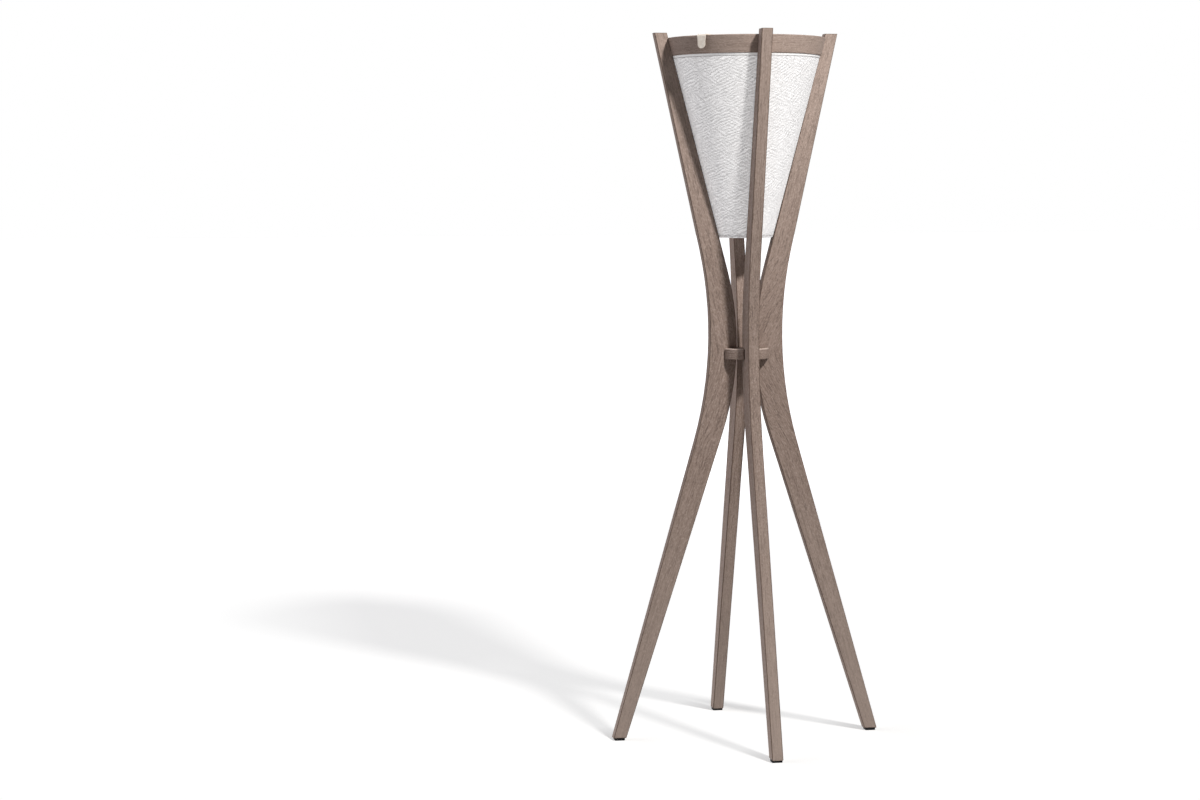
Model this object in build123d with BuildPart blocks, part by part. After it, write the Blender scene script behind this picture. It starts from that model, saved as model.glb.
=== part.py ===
from build123d import *

import os
from math import asin, cos, degrees, hypot, radians, sin, sqrt

os.makedirs("parts", exist_ok=True)

# A solar floor lamp in millimetres: the floor is Z = 0, the axis is Z, the front is towards -Y.

# Legs: reaches are measured from the lamp's axis, heights from the floor
lamp_height = 1500.0
leg_thickness = 24.0
leg_edge_round = 2.0
foot_outer_reach = 292.0
foot_width = 27.5
top_outer_reach = 198.0
top_width = 27.0
outer_bend_reach = 53.0
outer_bend_rise = 13.0
outer_bend_radius = 835.0
inner_bend_reach = -4.6
inner_bend_radius = 620.0

# Foot glides and the pins that hold them
glide_height = 5.0
glide_radius = 11.0
glide_edge = 1.0
glide_skin = 2.0
pin_radius = 1.5
pin_grip = 18.0

# Waist hub, lapped half and half with the legs
hub_radius = 50.0
hub_height = 23.0
hub_drop = 4.0
hub_lap_radius = 34.0
hub_edge_round = 2.0
hub_mouth_round = 3.0
lap_clearance = 0.1

# Ring between the leg tops, and the ledge inside it that carries the solar module
rim_drop = 10.5
rim_height = 37.5
rim_housing_depth = 1.5
rim_edge_round = 1.5
rim_upper_wall = 8.5
rim_ledge_width = 18.0

# Wood screws
screw_clearance = 0.1
leg_screw_shank = 2.25
leg_screw_head = 4.5
leg_screw_length = 42.0
leg_screw_sink = 0.5
shade_screw_count = 8
shade_screw_shank = 1.5
shade_screw_head = 3.0
shade_screw_length = 15.0

# Shade: fabric over a flat top ring and a wire hoop in the bottom hem
shade_leg_gap = 0.8
shade_top_gap = 0.3
fabric_thickness = 1.2
hem_height = 12.0
hoop_wire_radius = 2.5
shade_ring_width = 15.0
shade_ring_thickness = 4.0
shade_fit = 0.1

# Solar module: tray, gasket, top cover and panel, stacked on the ledge
module_clearance = 1.5
tray_flange = 4.0
tray_depth = 28.0
tray_wall = 2.5
tray_floor = 2.5
tray_taper = 4.0
tray_corner = 6.0
gasket_thickness = 1.5
gasket_margin = 1.0
cover_proud = 0.3
cover_rim = 12.0
cover_lip = 2.0
cover_lip_width = 5.0
cover_edge = 1.0
cover_screw_count = 8
cover_screw_shank = 1.4
cover_screw_head = 2.7
cover_screw_grip = 3.0
panel_clearance = 0.3
panel_bond = 0.2
glass_thickness = 3.2
back_sheet_thickness = 1.2
solar_cell_thickness = 0.4
solar_cell_corner = 4.0
solar_cell_space = 1.5

# Light under the tray
led_board_thickness = 1.6
led_board_lap = 6.0
led_count = 12
led_size = 5.0
led_height = 0.8
diffuser_lap = 6.0
diffuser_flange = 2.5
diffuser_step = 2.5
diffuser_wall = 2.0
small_screw_count = 3
small_screw_shank = 1.2
small_screw_head = 2.3
small_screw_head_height = 1.4
small_screw_grip = 2.0

# Battery, on the tray floor towards the back right
battery_angle = 45.0
battery_count = 4
battery_radius = 9.1
battery_pitch = 19.4
battery_fit = 0.2
holder_gap = 6.0
holder_wall_gap = 10.67
holder_base = 1.5
holder_height = 9.0
holder_end_wall = 2.0
holder_end_height = 15.0

# Control board, on pillars towards the front left, with the switch on its underside
board_angle = 225.0
board_gap = 8.0
board_wall_gap = 12.07
board_width = 76.0
board_thickness = 1.6
board_inset = 5.0
pillar_radius = 3.5
board_screw_shank = 1.4
board_screw_head = 2.6
board_screw_head_height = 1.8
board_screw_grip = 6.0
choke_radius = 6.5
choke_height = 8.0
capacitor_radius = 4.0
capacitor_height = 13.0
chip_size = 9.0
chip_height = 1.2
plug_length = 9.0
plug_width = 7.0
plug_height = 6.0
plug_spacing = 19.0
plug_count = 3
switch_size = 6.0
switch_height = 3.5
switch_plunger_radius = 1.7
switch_plunger = 1.2

# Button through the tray floor, pressed upwards from below
button_radius = 7.0
button_travel = 1.5
button_proud = 1.5
button_clearance = 0.3
button_rest_gap = 0.1
button_flange = 2.5
button_flange_thickness = 1.5
button_stem_radius = 2.2
button_stem = 2.0
button_edge = 0.6
button_free_play = 0.2

# Leads inside the module
lead_radius = 1.0
lead_end_gap = 0.1
lead_bend = 5.0
led_lead_inset = 12.0

# Leather strap over the ring, fixed to the cover, half way between the front and left legs
strap_angle = 225.0
strap_width = 22.0
strap_thickness = 2.0
strap_hang = 28.0
strap_gap = 0.4
strap_bend = 2.0
strap_end_round = 8.0
strap_inset = 1.0
rivet_head = 4.0
rivet_head_height = 1.8
rivet_shank = 1.6
rivet_grip = 5.0

# Heights and reaches that follow, with the waist and the shade's bottom at shares of the height
inner_bend_height = 0.552 * lamp_height
outer_bend_height = inner_bend_height + outer_bend_rise
foot_inner_reach = foot_outer_reach - foot_width
top_inner_reach = top_outer_reach - top_width
rim_top = lamp_height - rim_drop
rim_bottom = rim_top - rim_height
cover_top = rim_top + cover_proud
glass_top = cover_top - cover_lip
glass_bottom = glass_top - glass_thickness
sheet_top = glass_bottom - solar_cell_thickness
sheet_bottom = sheet_top - back_sheet_thickness
cover_bottom = sheet_bottom - panel_bond
flange_top = cover_bottom - gasket_thickness
ledge_height = flange_top - tray_flange
tray_bottom = ledge_height - tray_depth
floor_top = tray_bottom + tray_floor
hub_centre_height = inner_bend_height - hub_drop
hub_bottom = hub_centre_height - hub_height / 2
leg_screw_height = (rim_bottom + ledge_height) / 2
shade_bottom = 0.71333 * lamp_height
shade_height = rim_bottom - shade_bottom

leg_angles = {"front": 270.0, "right": 0.0, "back": 90.0, "left": 180.0}


def on_line(height, low_height, low_reach, high_height, high_reach):
    """Reach at a height on the straight line through two points."""
    share = (height - low_height) / (high_height - low_height)
    return low_reach + share * (high_reach - low_reach)


def lower_outer(height):
    return on_line(height, 0.0, foot_outer_reach, outer_bend_height, outer_bend_reach)


def lower_inner(height):
    return on_line(height, 0.0, foot_inner_reach, inner_bend_height, inner_bend_reach)


def upper_inner(height):
    """The leg's inner edge above the waist, which the ring and the shade follow."""
    return on_line(height, inner_bend_height, inner_bend_reach, lamp_height, top_inner_reach)


def rim_outer(height):
    return upper_inner(height) + rim_housing_depth


def shade_outer(height):
    return upper_inner(height) - shade_leg_gap


def upright(angle):
    """The plane through the axis at an angle: its x is the reach, its y the height."""
    out = (cos(radians(angle)), sin(radians(angle)), 0)
    across = (sin(radians(angle)), -cos(radians(angle)), 0)
    return Plane(origin=(0, 0, 0), x_dir=out, z_dir=across)


def flat(angle, height):
    """A level plane at a height whose x points outwards at an angle."""
    out = (cos(radians(angle)), sin(radians(angle)), 0)
    return Plane(origin=(0, 0, height), x_dir=out, z_dir=(0, 0, 1))


def point_at(angle, reach, height):
    return (reach * cos(radians(angle)), reach * sin(radians(angle)), height)


def circle_places(count, first_angle, reach, height, z_dir):
    """Planes on a circle about the axis, for fasteners."""
    step = 360.0 / count
    return [Plane(origin=point_at(first_angle + i * step, reach, height), z_dir=z_dir) for i in range(count)]


def countersunk_screw(head, shank, length):
    """A screw whose head is level with the origin and whose shank runs down -Z."""
    with BuildPart() as screw:
        with BuildSketch(Plane.XZ):
            with BuildLine():
                Polyline(
                    (0, 0),
                    (head, 0),
                    (shank, shank - head),
                    (shank, -length),
                    (0, -length),
                    close=True,
                )
            make_face()
        revolve(axis=Axis.Z)
    return screw.part


def pan_screw(head, head_height, shank, grip):
    """A screw whose round head stands on the origin and whose shank runs down -Z."""
    with BuildPart() as screw:
        Cylinder(head, head_height, align=(Align.CENTER, Align.CENTER, Align.MIN))
        fillet(screw.edges().group_by(Axis.Z)[-1], head_height / 2)
        Cylinder(shank, grip, align=(Align.CENTER, Align.CENTER, Align.MAX))
    return screw.part


def save(part, name):
    part.label = name
    export_step(part, f"parts/{name}.step")


# Legs: a straight foot, a bow at the waist and a straight upper part, thickest at the waist
foot_centre = (lower_outer(glide_height) + lower_inner(glide_height)) / 2
leg_screw_places = {
    name: Plane(
        origin=point_at(angle, rim_outer(ledge_height) - rim_upper_wall - rim_ledge_width, leg_screw_height),
        z_dir=point_at(angle, -1, 0),
    )
    for name, angle in leg_angles.items()
}
for name, angle in leg_angles.items():
    with BuildPart() as leg:
        with BuildSketch(upright(angle)) as outline:
            with BuildLine():
                Polyline(
                    (lower_inner(glide_height), glide_height),
                    (lower_outer(glide_height), glide_height),
                    (outer_bend_reach, outer_bend_height),
                    (top_outer_reach, lamp_height),
                    (top_inner_reach, lamp_height),
                    (inner_bend_reach, inner_bend_height),
                    close=True,
                )
            make_face()
            fillet(outline.vertices().sort_by(Axis.X)[1], outer_bend_radius)
            fillet(outline.vertices().sort_by(Axis.X)[0], inner_bend_radius)
        extrude(amount=leg_thickness / 2, both=True)
        flanks = leg.faces().filter_by(Axis((0, 0, 0), upright(angle).z_dir))
        fillet(flanks.edges(), leg_edge_round)
        with BuildSketch(upright(angle)):
            with Locations((hub_lap_radius, hub_centre_height)):
                Rectangle(
                    2 * hub_lap_radius,
                    hub_height + 2 * lap_clearance,
                    align=(Align.MAX, Align.CENTER),
                )
        extrude(amount=leg_thickness, both=True, mode=Mode.SUBTRACT)
        with Locations(leg_screw_places[name]):
            Hole(leg_screw_shank + screw_clearance, leg_screw_length + leg_screw_sink + screw_clearance)
        with Locations(Plane(origin=point_at(angle, foot_centre, glide_height), z_dir=(0, 0, -1))):
            Hole(pin_radius + screw_clearance, pin_grip + screw_clearance)
    save(leg.part, f"leg_{name}")

# Foot glides: plain round pads with a whole lower face
for name, angle in leg_angles.items():
    with BuildPart() as glide:
        with Locations(point_at(angle, foot_centre, 0)):
            Cylinder(glide_radius, glide_height, align=(Align.CENTER, Align.CENTER, Align.MIN))
        chamfer(glide.edges().group_by(Axis.Z)[0], glide_edge)
        with Locations(point_at(angle, foot_centre, glide_height)):
            Hole(pin_radius + screw_clearance, glide_height - glide_skin)
    save(glide.part, f"glide_{name}")

with BuildPart() as glide_pins:
    with Locations([point_at(angle, foot_centre, glide_skin) for angle in leg_angles.values()]):
        Cylinder(
            pin_radius,
            glide_height - glide_skin + pin_grip,
            align=(Align.CENTER, Align.CENTER, Align.MIN),
        )
save(glide_pins.part, "glide_pins")

# Waist hub: a round disc slotted from its rim for the legs
with BuildPart() as waist_hub:
    with BuildSketch(Plane.XY.offset(hub_bottom)) as hub_outline:
        Circle(hub_radius)
        with PolarLocations(hub_lap_radius, len(leg_angles)):
            Rectangle(
                hub_radius,
                leg_thickness + 2 * lap_clearance,
                align=(Align.MIN, Align.CENTER),
                mode=Mode.SUBTRACT,
            )
        mouths = hub_outline.vertices().sort_by_distance((0, 0))[-2 * len(leg_angles):]
        fillet(mouths, hub_mouth_round)
    extrude(amount=hub_height)
    fillet(waist_hub.faces().sort_by(Axis.Z)[-1].edges(), hub_edge_round)
    fillet(waist_hub.faces().sort_by(Axis.Z)[0].edges(), hub_edge_round)
save(waist_hub.part, "waist_hub")

# Ring: a conical band with a housing for each leg outside and a ledge inside
rabbet_radius = rim_outer(ledge_height) - rim_upper_wall
bore_radius = rabbet_radius - rim_ledge_width
shade_screw_circle = bore_radius + shade_ring_width / 2
shade_screw_angle = 180.0 / shade_screw_count
shade_screw_places = circle_places(
    shade_screw_count,
    shade_screw_angle,
    shade_screw_circle,
    rim_bottom - shade_ring_thickness,
    (0, 0, -1),
)
with BuildPart() as rim_ring:
    with BuildSketch(Plane.XZ) as rim_section:
        with BuildLine():
            Polyline(
                (bore_radius, rim_bottom),
                (rim_outer(rim_bottom), rim_bottom),
                (rim_outer(rim_top), rim_top),
                (rabbet_radius, rim_top),
                (rabbet_radius, ledge_height),
                (bore_radius, ledge_height),
                close=True,
            )
        make_face()
        outer_corners = rim_section.vertices().sort_by(Axis.X)[-2:]
        fillet(outer_corners, rim_edge_round)
    revolve(axis=Axis.Z)
    for angle in leg_angles.values():
        with BuildSketch(upright(angle)):
            with BuildLine():
                Polyline(
                    (upper_inner(rim_bottom - rim_drop), rim_bottom - rim_drop),
                    (top_outer_reach, rim_bottom - rim_drop),
                    (top_outer_reach, lamp_height),
                    (top_inner_reach, lamp_height),
                    close=True,
                )
            make_face()
        extrude(amount=leg_thickness / 2 + lap_clearance, both=True, mode=Mode.SUBTRACT)
    with Locations(*leg_screw_places.values()):
        CounterSinkHole(
            leg_screw_shank + screw_clearance,
            leg_screw_head + leg_screw_sink + screw_clearance,
            leg_screw_length,
            90,
        )
    with Locations(*shade_screw_places):
        Hole(shade_screw_shank + screw_clearance, shade_screw_length + screw_clearance)
save(rim_ring.part, "rim_ring")

leg_screw = countersunk_screw(leg_screw_head, leg_screw_shank, leg_screw_length)
with BuildPart() as leg_screws:
    with Locations(*[place.offset(-leg_screw_sink) for place in leg_screw_places.values()]):
        add(leg_screw)
save(leg_screws.part, "leg_screws")

# Shade: flat top ring under the wooden ring, wire hoop at the bottom, fabric rolled round the hoop
fabric_slope = (upper_inner(rim_bottom) - upper_inner(shade_bottom)) / shade_height
slant = sqrt(1 + fabric_slope**2)
down_the_fabric = Vector(-fabric_slope, -1) / slant
into_the_shade = Vector(-1, fabric_slope) / slant


def shade_middle(height):
    return shade_outer(height) - fabric_thickness / 2 * slant


def shade_inner(height):
    return shade_outer(height) - (fabric_thickness + shade_fit) * slant


with BuildPart() as shade_top_ring:
    with BuildSketch(Plane.XZ):
        with BuildLine():
            Polyline(
                (bore_radius, rim_bottom),
                (shade_inner(rim_bottom), rim_bottom),
                (shade_inner(rim_bottom - shade_ring_thickness), rim_bottom - shade_ring_thickness),
                (bore_radius, rim_bottom - shade_ring_thickness),
                close=True,
            )
        make_face()
    revolve(axis=Axis.Z)
    with Locations(*shade_screw_places):
        CounterSinkHole(
            shade_screw_shank + screw_clearance,
            shade_screw_head + screw_clearance,
            shade_ring_thickness,
            90,
        )
save(shade_top_ring.part, "shade_top_ring")

shade_screw = countersunk_screw(shade_screw_head, shade_screw_shank, shade_screw_length)
with BuildPart() as shade_screws:
    with Locations(*shade_screw_places):
        add(shade_screw)
save(shade_screws.part, "shade_screws")

roll_radius = hoop_wire_radius + shade_fit + fabric_thickness / 2
hoop_height = shade_bottom + roll_radius + fabric_thickness / 2
hoop_centre = Vector(shade_middle(hoop_height) - roll_radius * slant, hoop_height)
with BuildPart() as shade_bottom_hoop:
    with BuildSketch(Plane.XZ):
        with Locations((hoop_centre.X, hoop_centre.Y)):
            Circle(hoop_wire_radius)
    revolve(axis=Axis.Z)
save(shade_bottom_hoop.part, "shade_bottom_hoop")

fabric_top = rim_bottom - shade_top_gap
roll_start = hoop_centre - into_the_shade * roll_radius
roll_end = hoop_centre + into_the_shade * roll_radius
with BuildPart() as shade_fabric:
    with BuildSketch(Plane.XZ):
        with BuildLine() as fabric_line:
            Line((shade_middle(fabric_top), fabric_top), roll_start)
            ThreePointArc(roll_start, hoop_centre + down_the_fabric * roll_radius, roll_end)
            Line(roll_end, roll_end - down_the_fabric * hem_height)
        trace(fabric_line.wires(), line_width=fabric_thickness)
    revolve(axis=Axis.Z)
save(shade_fabric.part, "shade_fabric")

# Module tray: a moulded dish with a flange, board pillars and openings for the light and the button
cover_radius = rabbet_radius - module_clearance
tray_radius = bore_radius - module_clearance
tray_inside = tray_radius - tray_wall
panel_recess_radius = cover_radius - cover_rim
cover_screw_circle = panel_recess_radius + cover_rim / 2
cover_screw_angle = 180.0 / cover_screw_count
cover_screw_places = circle_places(
    cover_screw_count,
    cover_screw_angle,
    cover_screw_circle,
    cover_top,
    (0, 0, 1),
)
cover_screw_length = cover_top - flange_top + cover_screw_grip
tray_floor_radius = tray_inside - tray_taper
led_board_radius = 0.3483 * tray_floor_radius
led_window_radius = led_board_radius - led_board_lap
diffuser_flange_radius = led_board_radius + diffuser_lap
diffuser_radius = led_window_radius + diffuser_step
led_screw_circle = (led_window_radius + led_board_radius) / 2
led_screw_places = circle_places(
    small_screw_count,
    0,
    led_screw_circle,
    floor_top + led_board_thickness,
    (0, 0, 1),
)
diffuser_screw_circle = (diffuser_radius + diffuser_flange_radius) / 2
diffuser_screw_places = circle_places(
    small_screw_count,
    180.0 / small_screw_count,
    diffuser_screw_circle,
    tray_bottom - diffuser_flange,
    (0, 0, -1),
)
board_length = tray_floor_radius - board_wall_gap - led_board_radius - board_gap
board_centre = led_board_radius + board_gap + board_length / 2
button_stem_top = floor_top + button_rest_gap + button_flange_thickness + button_stem
switch_tip = button_stem_top + button_travel + button_free_play
board_bottom = switch_tip + switch_plunger + switch_height
board_top = board_bottom + board_thickness
board_spacing = (board_length - 2 * board_inset, board_width - 2 * board_inset)
button_place = point_at(board_angle, board_centre, tray_bottom)

with BuildPart() as module_tray:
    with BuildSketch(Plane.XZ) as tray_section:
        with BuildLine():
            Polyline(
                (led_window_radius, tray_bottom),
                (tray_radius - tray_taper, tray_bottom),
                (tray_radius, ledge_height),
                (cover_radius, ledge_height),
                (cover_radius, flange_top),
                (tray_inside, flange_top),
                (tray_inside - tray_taper, floor_top),
                (led_window_radius, floor_top),
                close=True,
            )
        make_face()
        below, above = tray_section.vertices().group_by(Axis.Y)[:2]
        outer_foot = below.sort_by(Axis.X)[-1]
        inner_foot = above.sort_by(Axis.X)[-1]
        fillet(outer_foot, tray_corner)
        fillet(inner_foot, tray_corner - tray_wall)
    revolve(axis=Axis.Z)
    with BuildSketch(flat(board_angle, floor_top)):
        with Locations((board_centre, 0)):
            with GridLocations(*board_spacing, 2, 2):
                Circle(pillar_radius)
    extrude(amount=board_bottom - floor_top)
    with BuildSketch(flat(board_angle, board_bottom)):
        with Locations((board_centre, 0)):
            with GridLocations(*board_spacing, 2, 2):
                Circle(board_screw_shank + screw_clearance)
    extrude(amount=-(board_screw_grip + screw_clearance), mode=Mode.SUBTRACT)
    with Locations(button_place):
        Cylinder(button_radius + button_clearance, 4 * tray_floor, mode=Mode.SUBTRACT)
    with Locations(*led_screw_places):
        Hole(small_screw_shank + screw_clearance, led_board_thickness + tray_floor)
    with Locations(*diffuser_screw_places):
        Hole(small_screw_shank + screw_clearance, diffuser_flange + small_screw_grip + screw_clearance)
    with Locations(*cover_screw_places):
        Hole(cover_screw_shank + screw_clearance, cover_screw_length + screw_clearance)
save(module_tray.part, "module_tray")

# Gasket, cover and cover screws
with BuildPart() as cover_gasket:
    with BuildSketch(Plane.XY.offset(flange_top)):
        Circle(cover_radius - gasket_margin)
        Circle(panel_recess_radius + gasket_margin, mode=Mode.SUBTRACT)
        with PolarLocations(cover_screw_circle, cover_screw_count, cover_screw_angle):
            Circle(cover_screw_shank + screw_clearance, mode=Mode.SUBTRACT)
    extrude(amount=gasket_thickness)
save(cover_gasket.part, "cover_gasket")

with BuildPart() as top_cover:
    with BuildSketch(Plane.XZ) as cover_section:
        with BuildLine():
            Polyline(
                (panel_recess_radius, cover_bottom),
                (cover_radius, cover_bottom),
                (cover_radius, cover_top),
                (panel_recess_radius - cover_lip_width, cover_top),
                (panel_recess_radius - cover_lip_width, glass_top),
                (panel_recess_radius, glass_top),
                close=True,
            )
        make_face()
        chamfer(cover_section.vertices().group_by(Axis.Y)[-1], cover_edge)
    revolve(axis=Axis.Z)
    with Locations(*cover_screw_places):
        CounterSinkHole(
            cover_screw_shank + screw_clearance,
            cover_screw_head + screw_clearance,
            cover_screw_length,
            90,
        )
    with Locations(point_at(strap_angle, cover_screw_circle, cover_top)):
        Hole(rivet_shank + screw_clearance, rivet_grip + screw_clearance)
save(top_cover.part, "top_cover")

cover_screw = countersunk_screw(cover_screw_head, cover_screw_shank, cover_screw_length)
with BuildPart() as cover_screws:
    with Locations(*cover_screw_places):
        add(cover_screw)
save(cover_screws.part, "cover_screws")

# Solar panel: glass over a grid of cells on a back sheet, cells kept where they fit the round panel
panel_radius = panel_recess_radius - panel_clearance
with BuildPart() as solar_glass:
    with BuildSketch(Plane.XY.offset(glass_bottom)):
        Circle(panel_radius)
    extrude(amount=glass_thickness)
save(solar_glass.part, "solar_glass")

cell_reach = 0.955 * panel_radius
cell_pitch = 0.3015 * panel_radius
cell_size = cell_pitch - solar_cell_space
cells_across = 2 * int(cell_reach / cell_pitch)


def cell_fits(place):
    corner = cell_size / 2
    return hypot(abs(place.position.X) + corner, abs(place.position.Y) + corner) < cell_reach


cell_grid = GridLocations(cell_pitch, cell_pitch, cells_across, cells_across)
with BuildPart() as solar_cells:
    with BuildSketch(Plane.XY.offset(sheet_top)) as cell_outlines:
        with Locations(*[place for place in cell_grid if cell_fits(place)]):
            Rectangle(cell_size, cell_size)
        chamfer(cell_outlines.vertices(), solar_cell_corner)
    extrude(amount=solar_cell_thickness)
save(solar_cells.part, "solar_cells")

with BuildPart() as solar_back_sheet:
    with BuildSketch(Plane.XY.offset(sheet_bottom)):
        Circle(panel_radius)
    extrude(amount=back_sheet_thickness)
save(solar_back_sheet.part, "solar_back_sheet")

# LED board over the window, its chips and screws
led_circle = 0.61 * led_board_radius
with BuildPart() as led_board:
    with BuildSketch(Plane.XY.offset(floor_top)):
        Circle(led_board_radius)
        with PolarLocations(led_screw_circle, small_screw_count):
            Circle(small_screw_shank + screw_clearance, mode=Mode.SUBTRACT)
    extrude(amount=led_board_thickness)
save(led_board.part, "led_board")

with BuildPart() as led_chips:
    with BuildSketch(Plane.XY.offset(floor_top)):
        with PolarLocations(led_circle, led_count):
            Rectangle(led_size, led_size)
    extrude(amount=-led_height)
save(led_chips.part, "led_chips")

led_screw = pan_screw(
    small_screw_head,
    small_screw_head_height,
    small_screw_shank,
    led_board_thickness + small_screw_grip,
)
with BuildPart() as led_screws:
    with Locations(*led_screw_places):
        add(led_screw)
save(led_screws.part, "led_screws")

# Diffuser: a flanged shallow dome under the tray
dome_rim = tray_bottom - diffuser_flange
diffuser_depth = 0.47 * diffuser_radius
dome_sphere = (diffuser_radius**2 + diffuser_depth**2) / (2 * diffuser_depth)
dome_centre = dome_rim - diffuser_depth + dome_sphere
dome_inside = dome_sphere - diffuser_wall
inside_mouth = sqrt(dome_inside**2 - (dome_centre - tray_bottom) ** 2)
with BuildPart() as diffuser:
    with BuildSketch(Plane.XZ):
        with BuildLine():
            CenterArc((0, dome_centre), dome_sphere, -90, degrees(asin(diffuser_radius / dome_sphere)))
            Polyline(
                (diffuser_radius, dome_rim),
                (diffuser_flange_radius, dome_rim),
                (diffuser_flange_radius, tray_bottom),
                (inside_mouth, tray_bottom),
            )
            CenterArc((0, dome_centre), dome_inside, -90, degrees(asin(inside_mouth / dome_inside)))
            Line((0, dome_centre - dome_inside), (0, dome_centre - dome_sphere))
        make_face()
    revolve(axis=Axis.Z)
    with Locations(*diffuser_screw_places):
        CounterSinkHole(
            small_screw_shank + screw_clearance,
            small_screw_head + screw_clearance,
            diffuser_flange,
            90,
        )
save(diffuser.part, "diffuser")

diffuser_screw = countersunk_screw(small_screw_head, small_screw_shank, diffuser_flange + small_screw_grip)
with BuildPart() as diffuser_screws:
    with Locations(*diffuser_screw_places):
        add(diffuser_screw)
save(diffuser_screws.part, "diffuser_screws")

# Battery: round cells in a cradle with end walls
holder_length = tray_floor_radius - holder_wall_gap - led_board_radius - holder_gap
battery_length = holder_length - 2 * (battery_fit + holder_end_wall)
holder_width = battery_count * battery_pitch
holder_centre = led_board_radius + holder_gap + holder_length / 2
cell_axis_height = floor_top + holder_base + battery_fit + battery_radius
battery_row = Plane(
    origin=point_at(battery_angle, holder_centre, cell_axis_height),
    x_dir=point_at(battery_angle + 90, 1, 0),
    z_dir=point_at(battery_angle, 1, 0),
)
with BuildPart() as battery_holder:
    with BuildSketch(flat(battery_angle, floor_top)):
        with Locations((holder_centre, 0)):
            Rectangle(holder_length, holder_width)
    extrude(amount=holder_height)
    with BuildSketch(flat(battery_angle, floor_top)):
        end_offset = (holder_length - holder_end_wall) / 2
        with Locations((holder_centre - end_offset, 0), (holder_centre + end_offset, 0)):
            Rectangle(holder_end_wall, holder_width)
    extrude(amount=holder_end_height)
    with BuildSketch(battery_row):
        with GridLocations(battery_pitch, 1, battery_count, 1):
            Circle(battery_radius + battery_fit)
    extrude(amount=battery_length / 2 + battery_fit, both=True, mode=Mode.SUBTRACT)
save(battery_holder.part, "battery_holder")

with BuildPart() as battery_cells:
    with BuildSketch(battery_row):
        with GridLocations(battery_pitch, 1, battery_count, 1):
            Circle(battery_radius)
    extrude(amount=battery_length / 2, both=True)
save(battery_cells.part, "battery_cells")

# Control board on its pillars, with its components, screws and switch
with BuildPart() as control_board:
    with BuildSketch(flat(board_angle, board_bottom)):
        with Locations((board_centre, 0)):
            Rectangle(board_length, board_width)
            with GridLocations(*board_spacing, 2, 2):
                Circle(board_screw_shank + screw_clearance, mode=Mode.SUBTRACT)
    extrude(amount=board_thickness)
save(control_board.part, "control_board")

plug_reach = board_centre - board_length / 2 + plug_width
with BuildPart() as board_components:
    with BuildSketch(flat(board_angle, board_top)):
        with Locations((board_centre, -board_width / 4)):
            Circle(choke_radius)
    extrude(amount=choke_height)
    with BuildSketch(flat(board_angle, board_top)):
        with Locations((board_centre + board_length / 4, board_width / 4)):
            Circle(capacitor_radius)
    extrude(amount=capacitor_height)
    with BuildSketch(flat(board_angle, board_top)):
        with Locations((board_centre, board_width / 8)):
            Rectangle(chip_size, chip_size)
    extrude(amount=chip_height)
    with BuildSketch(flat(board_angle, board_top)):
        with Locations((plug_reach, 0)):
            with GridLocations(plug_spacing, plug_spacing, 1, plug_count):
                Rectangle(plug_width, plug_length)
    extrude(amount=plug_height)
save(board_components.part, "board_components")

board_screw = pan_screw(
    board_screw_head,
    board_screw_head_height,
    board_screw_shank,
    board_thickness + board_screw_grip,
)
with BuildPart() as board_screws:
    with Locations(flat(board_angle, board_top)):
        with Locations((board_centre, 0)):
            with GridLocations(*board_spacing, 2, 2):
                add(board_screw)
save(board_screws.part, "board_screws")

with BuildPart() as push_switch:
    with BuildSketch(flat(board_angle, board_bottom)):
        with Locations((board_centre, 0)):
            Rectangle(switch_size, switch_size)
    extrude(amount=-switch_height)
    with BuildSketch(flat(board_angle, board_bottom - switch_height)):
        with Locations((board_centre, 0)):
            Circle(switch_plunger_radius)
    extrude(amount=-switch_plunger)
save(push_switch.part, "push_switch")

# Button: a round cap through the tray floor, kept in by its flange
with BuildPart() as power_button:
    cap_bottom = tray_bottom - button_proud
    flange_bottom = floor_top + button_rest_gap
    with BuildSketch(flat(board_angle, cap_bottom)):
        with Locations((board_centre, 0)):
            Circle(button_radius)
    extrude(amount=flange_bottom - cap_bottom)
    fillet(power_button.edges().group_by(Axis.Z)[0], button_edge)
    with BuildSketch(flat(board_angle, flange_bottom)):
        with Locations((board_centre, 0)):
            Circle(button_radius + button_flange)
    extrude(amount=button_flange_thickness)
    with BuildSketch(flat(board_angle, flange_bottom + button_flange_thickness)):
        with Locations((board_centre, 0)):
            Circle(button_stem_radius)
    extrude(amount=button_stem)
save(power_button.part, "power_button")

# Strap: a leather band over the ring's top edge, hanging straight so that it lifts clear
strap_reach = rim_outer(rim_top) + strap_gap
strap_end = cover_top - strap_hang
strap_outer_bend = strap_bend + strap_thickness
strap_root = panel_recess_radius + strap_inset
with BuildPart() as pull_strap:
    with BuildSketch(upright(strap_angle)):
        with BuildLine():
            Line((strap_root, cover_top), (strap_reach - strap_bend, cover_top))
            CenterArc((strap_reach - strap_bend, cover_top - strap_bend), strap_bend, 90, -90)
            Polyline(
                (strap_reach, cover_top - strap_bend),
                (strap_reach, strap_end),
                (strap_reach + strap_thickness, strap_end),
                (strap_reach + strap_thickness, cover_top - strap_bend),
            )
            CenterArc((strap_reach - strap_bend, cover_top - strap_bend), strap_outer_bend, 0, 90)
            Polyline(
                (strap_reach - strap_bend, cover_top + strap_thickness),
                (strap_root, cover_top + strap_thickness),
                (strap_root, cover_top),
            )
        make_face()
    extrude(amount=strap_width / 2, both=True)
    outward_edges = pull_strap.edges().filter_by(Axis((0, 0, 0), upright(strap_angle).x_dir))
    fillet(outward_edges.group_by(Axis.Z)[0], strap_end_round)
    with Locations(point_at(strap_angle, cover_screw_circle, cover_top + strap_thickness)):
        Hole(rivet_shank + screw_clearance, strap_thickness)
save(pull_strap.part, "pull_strap")

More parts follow.
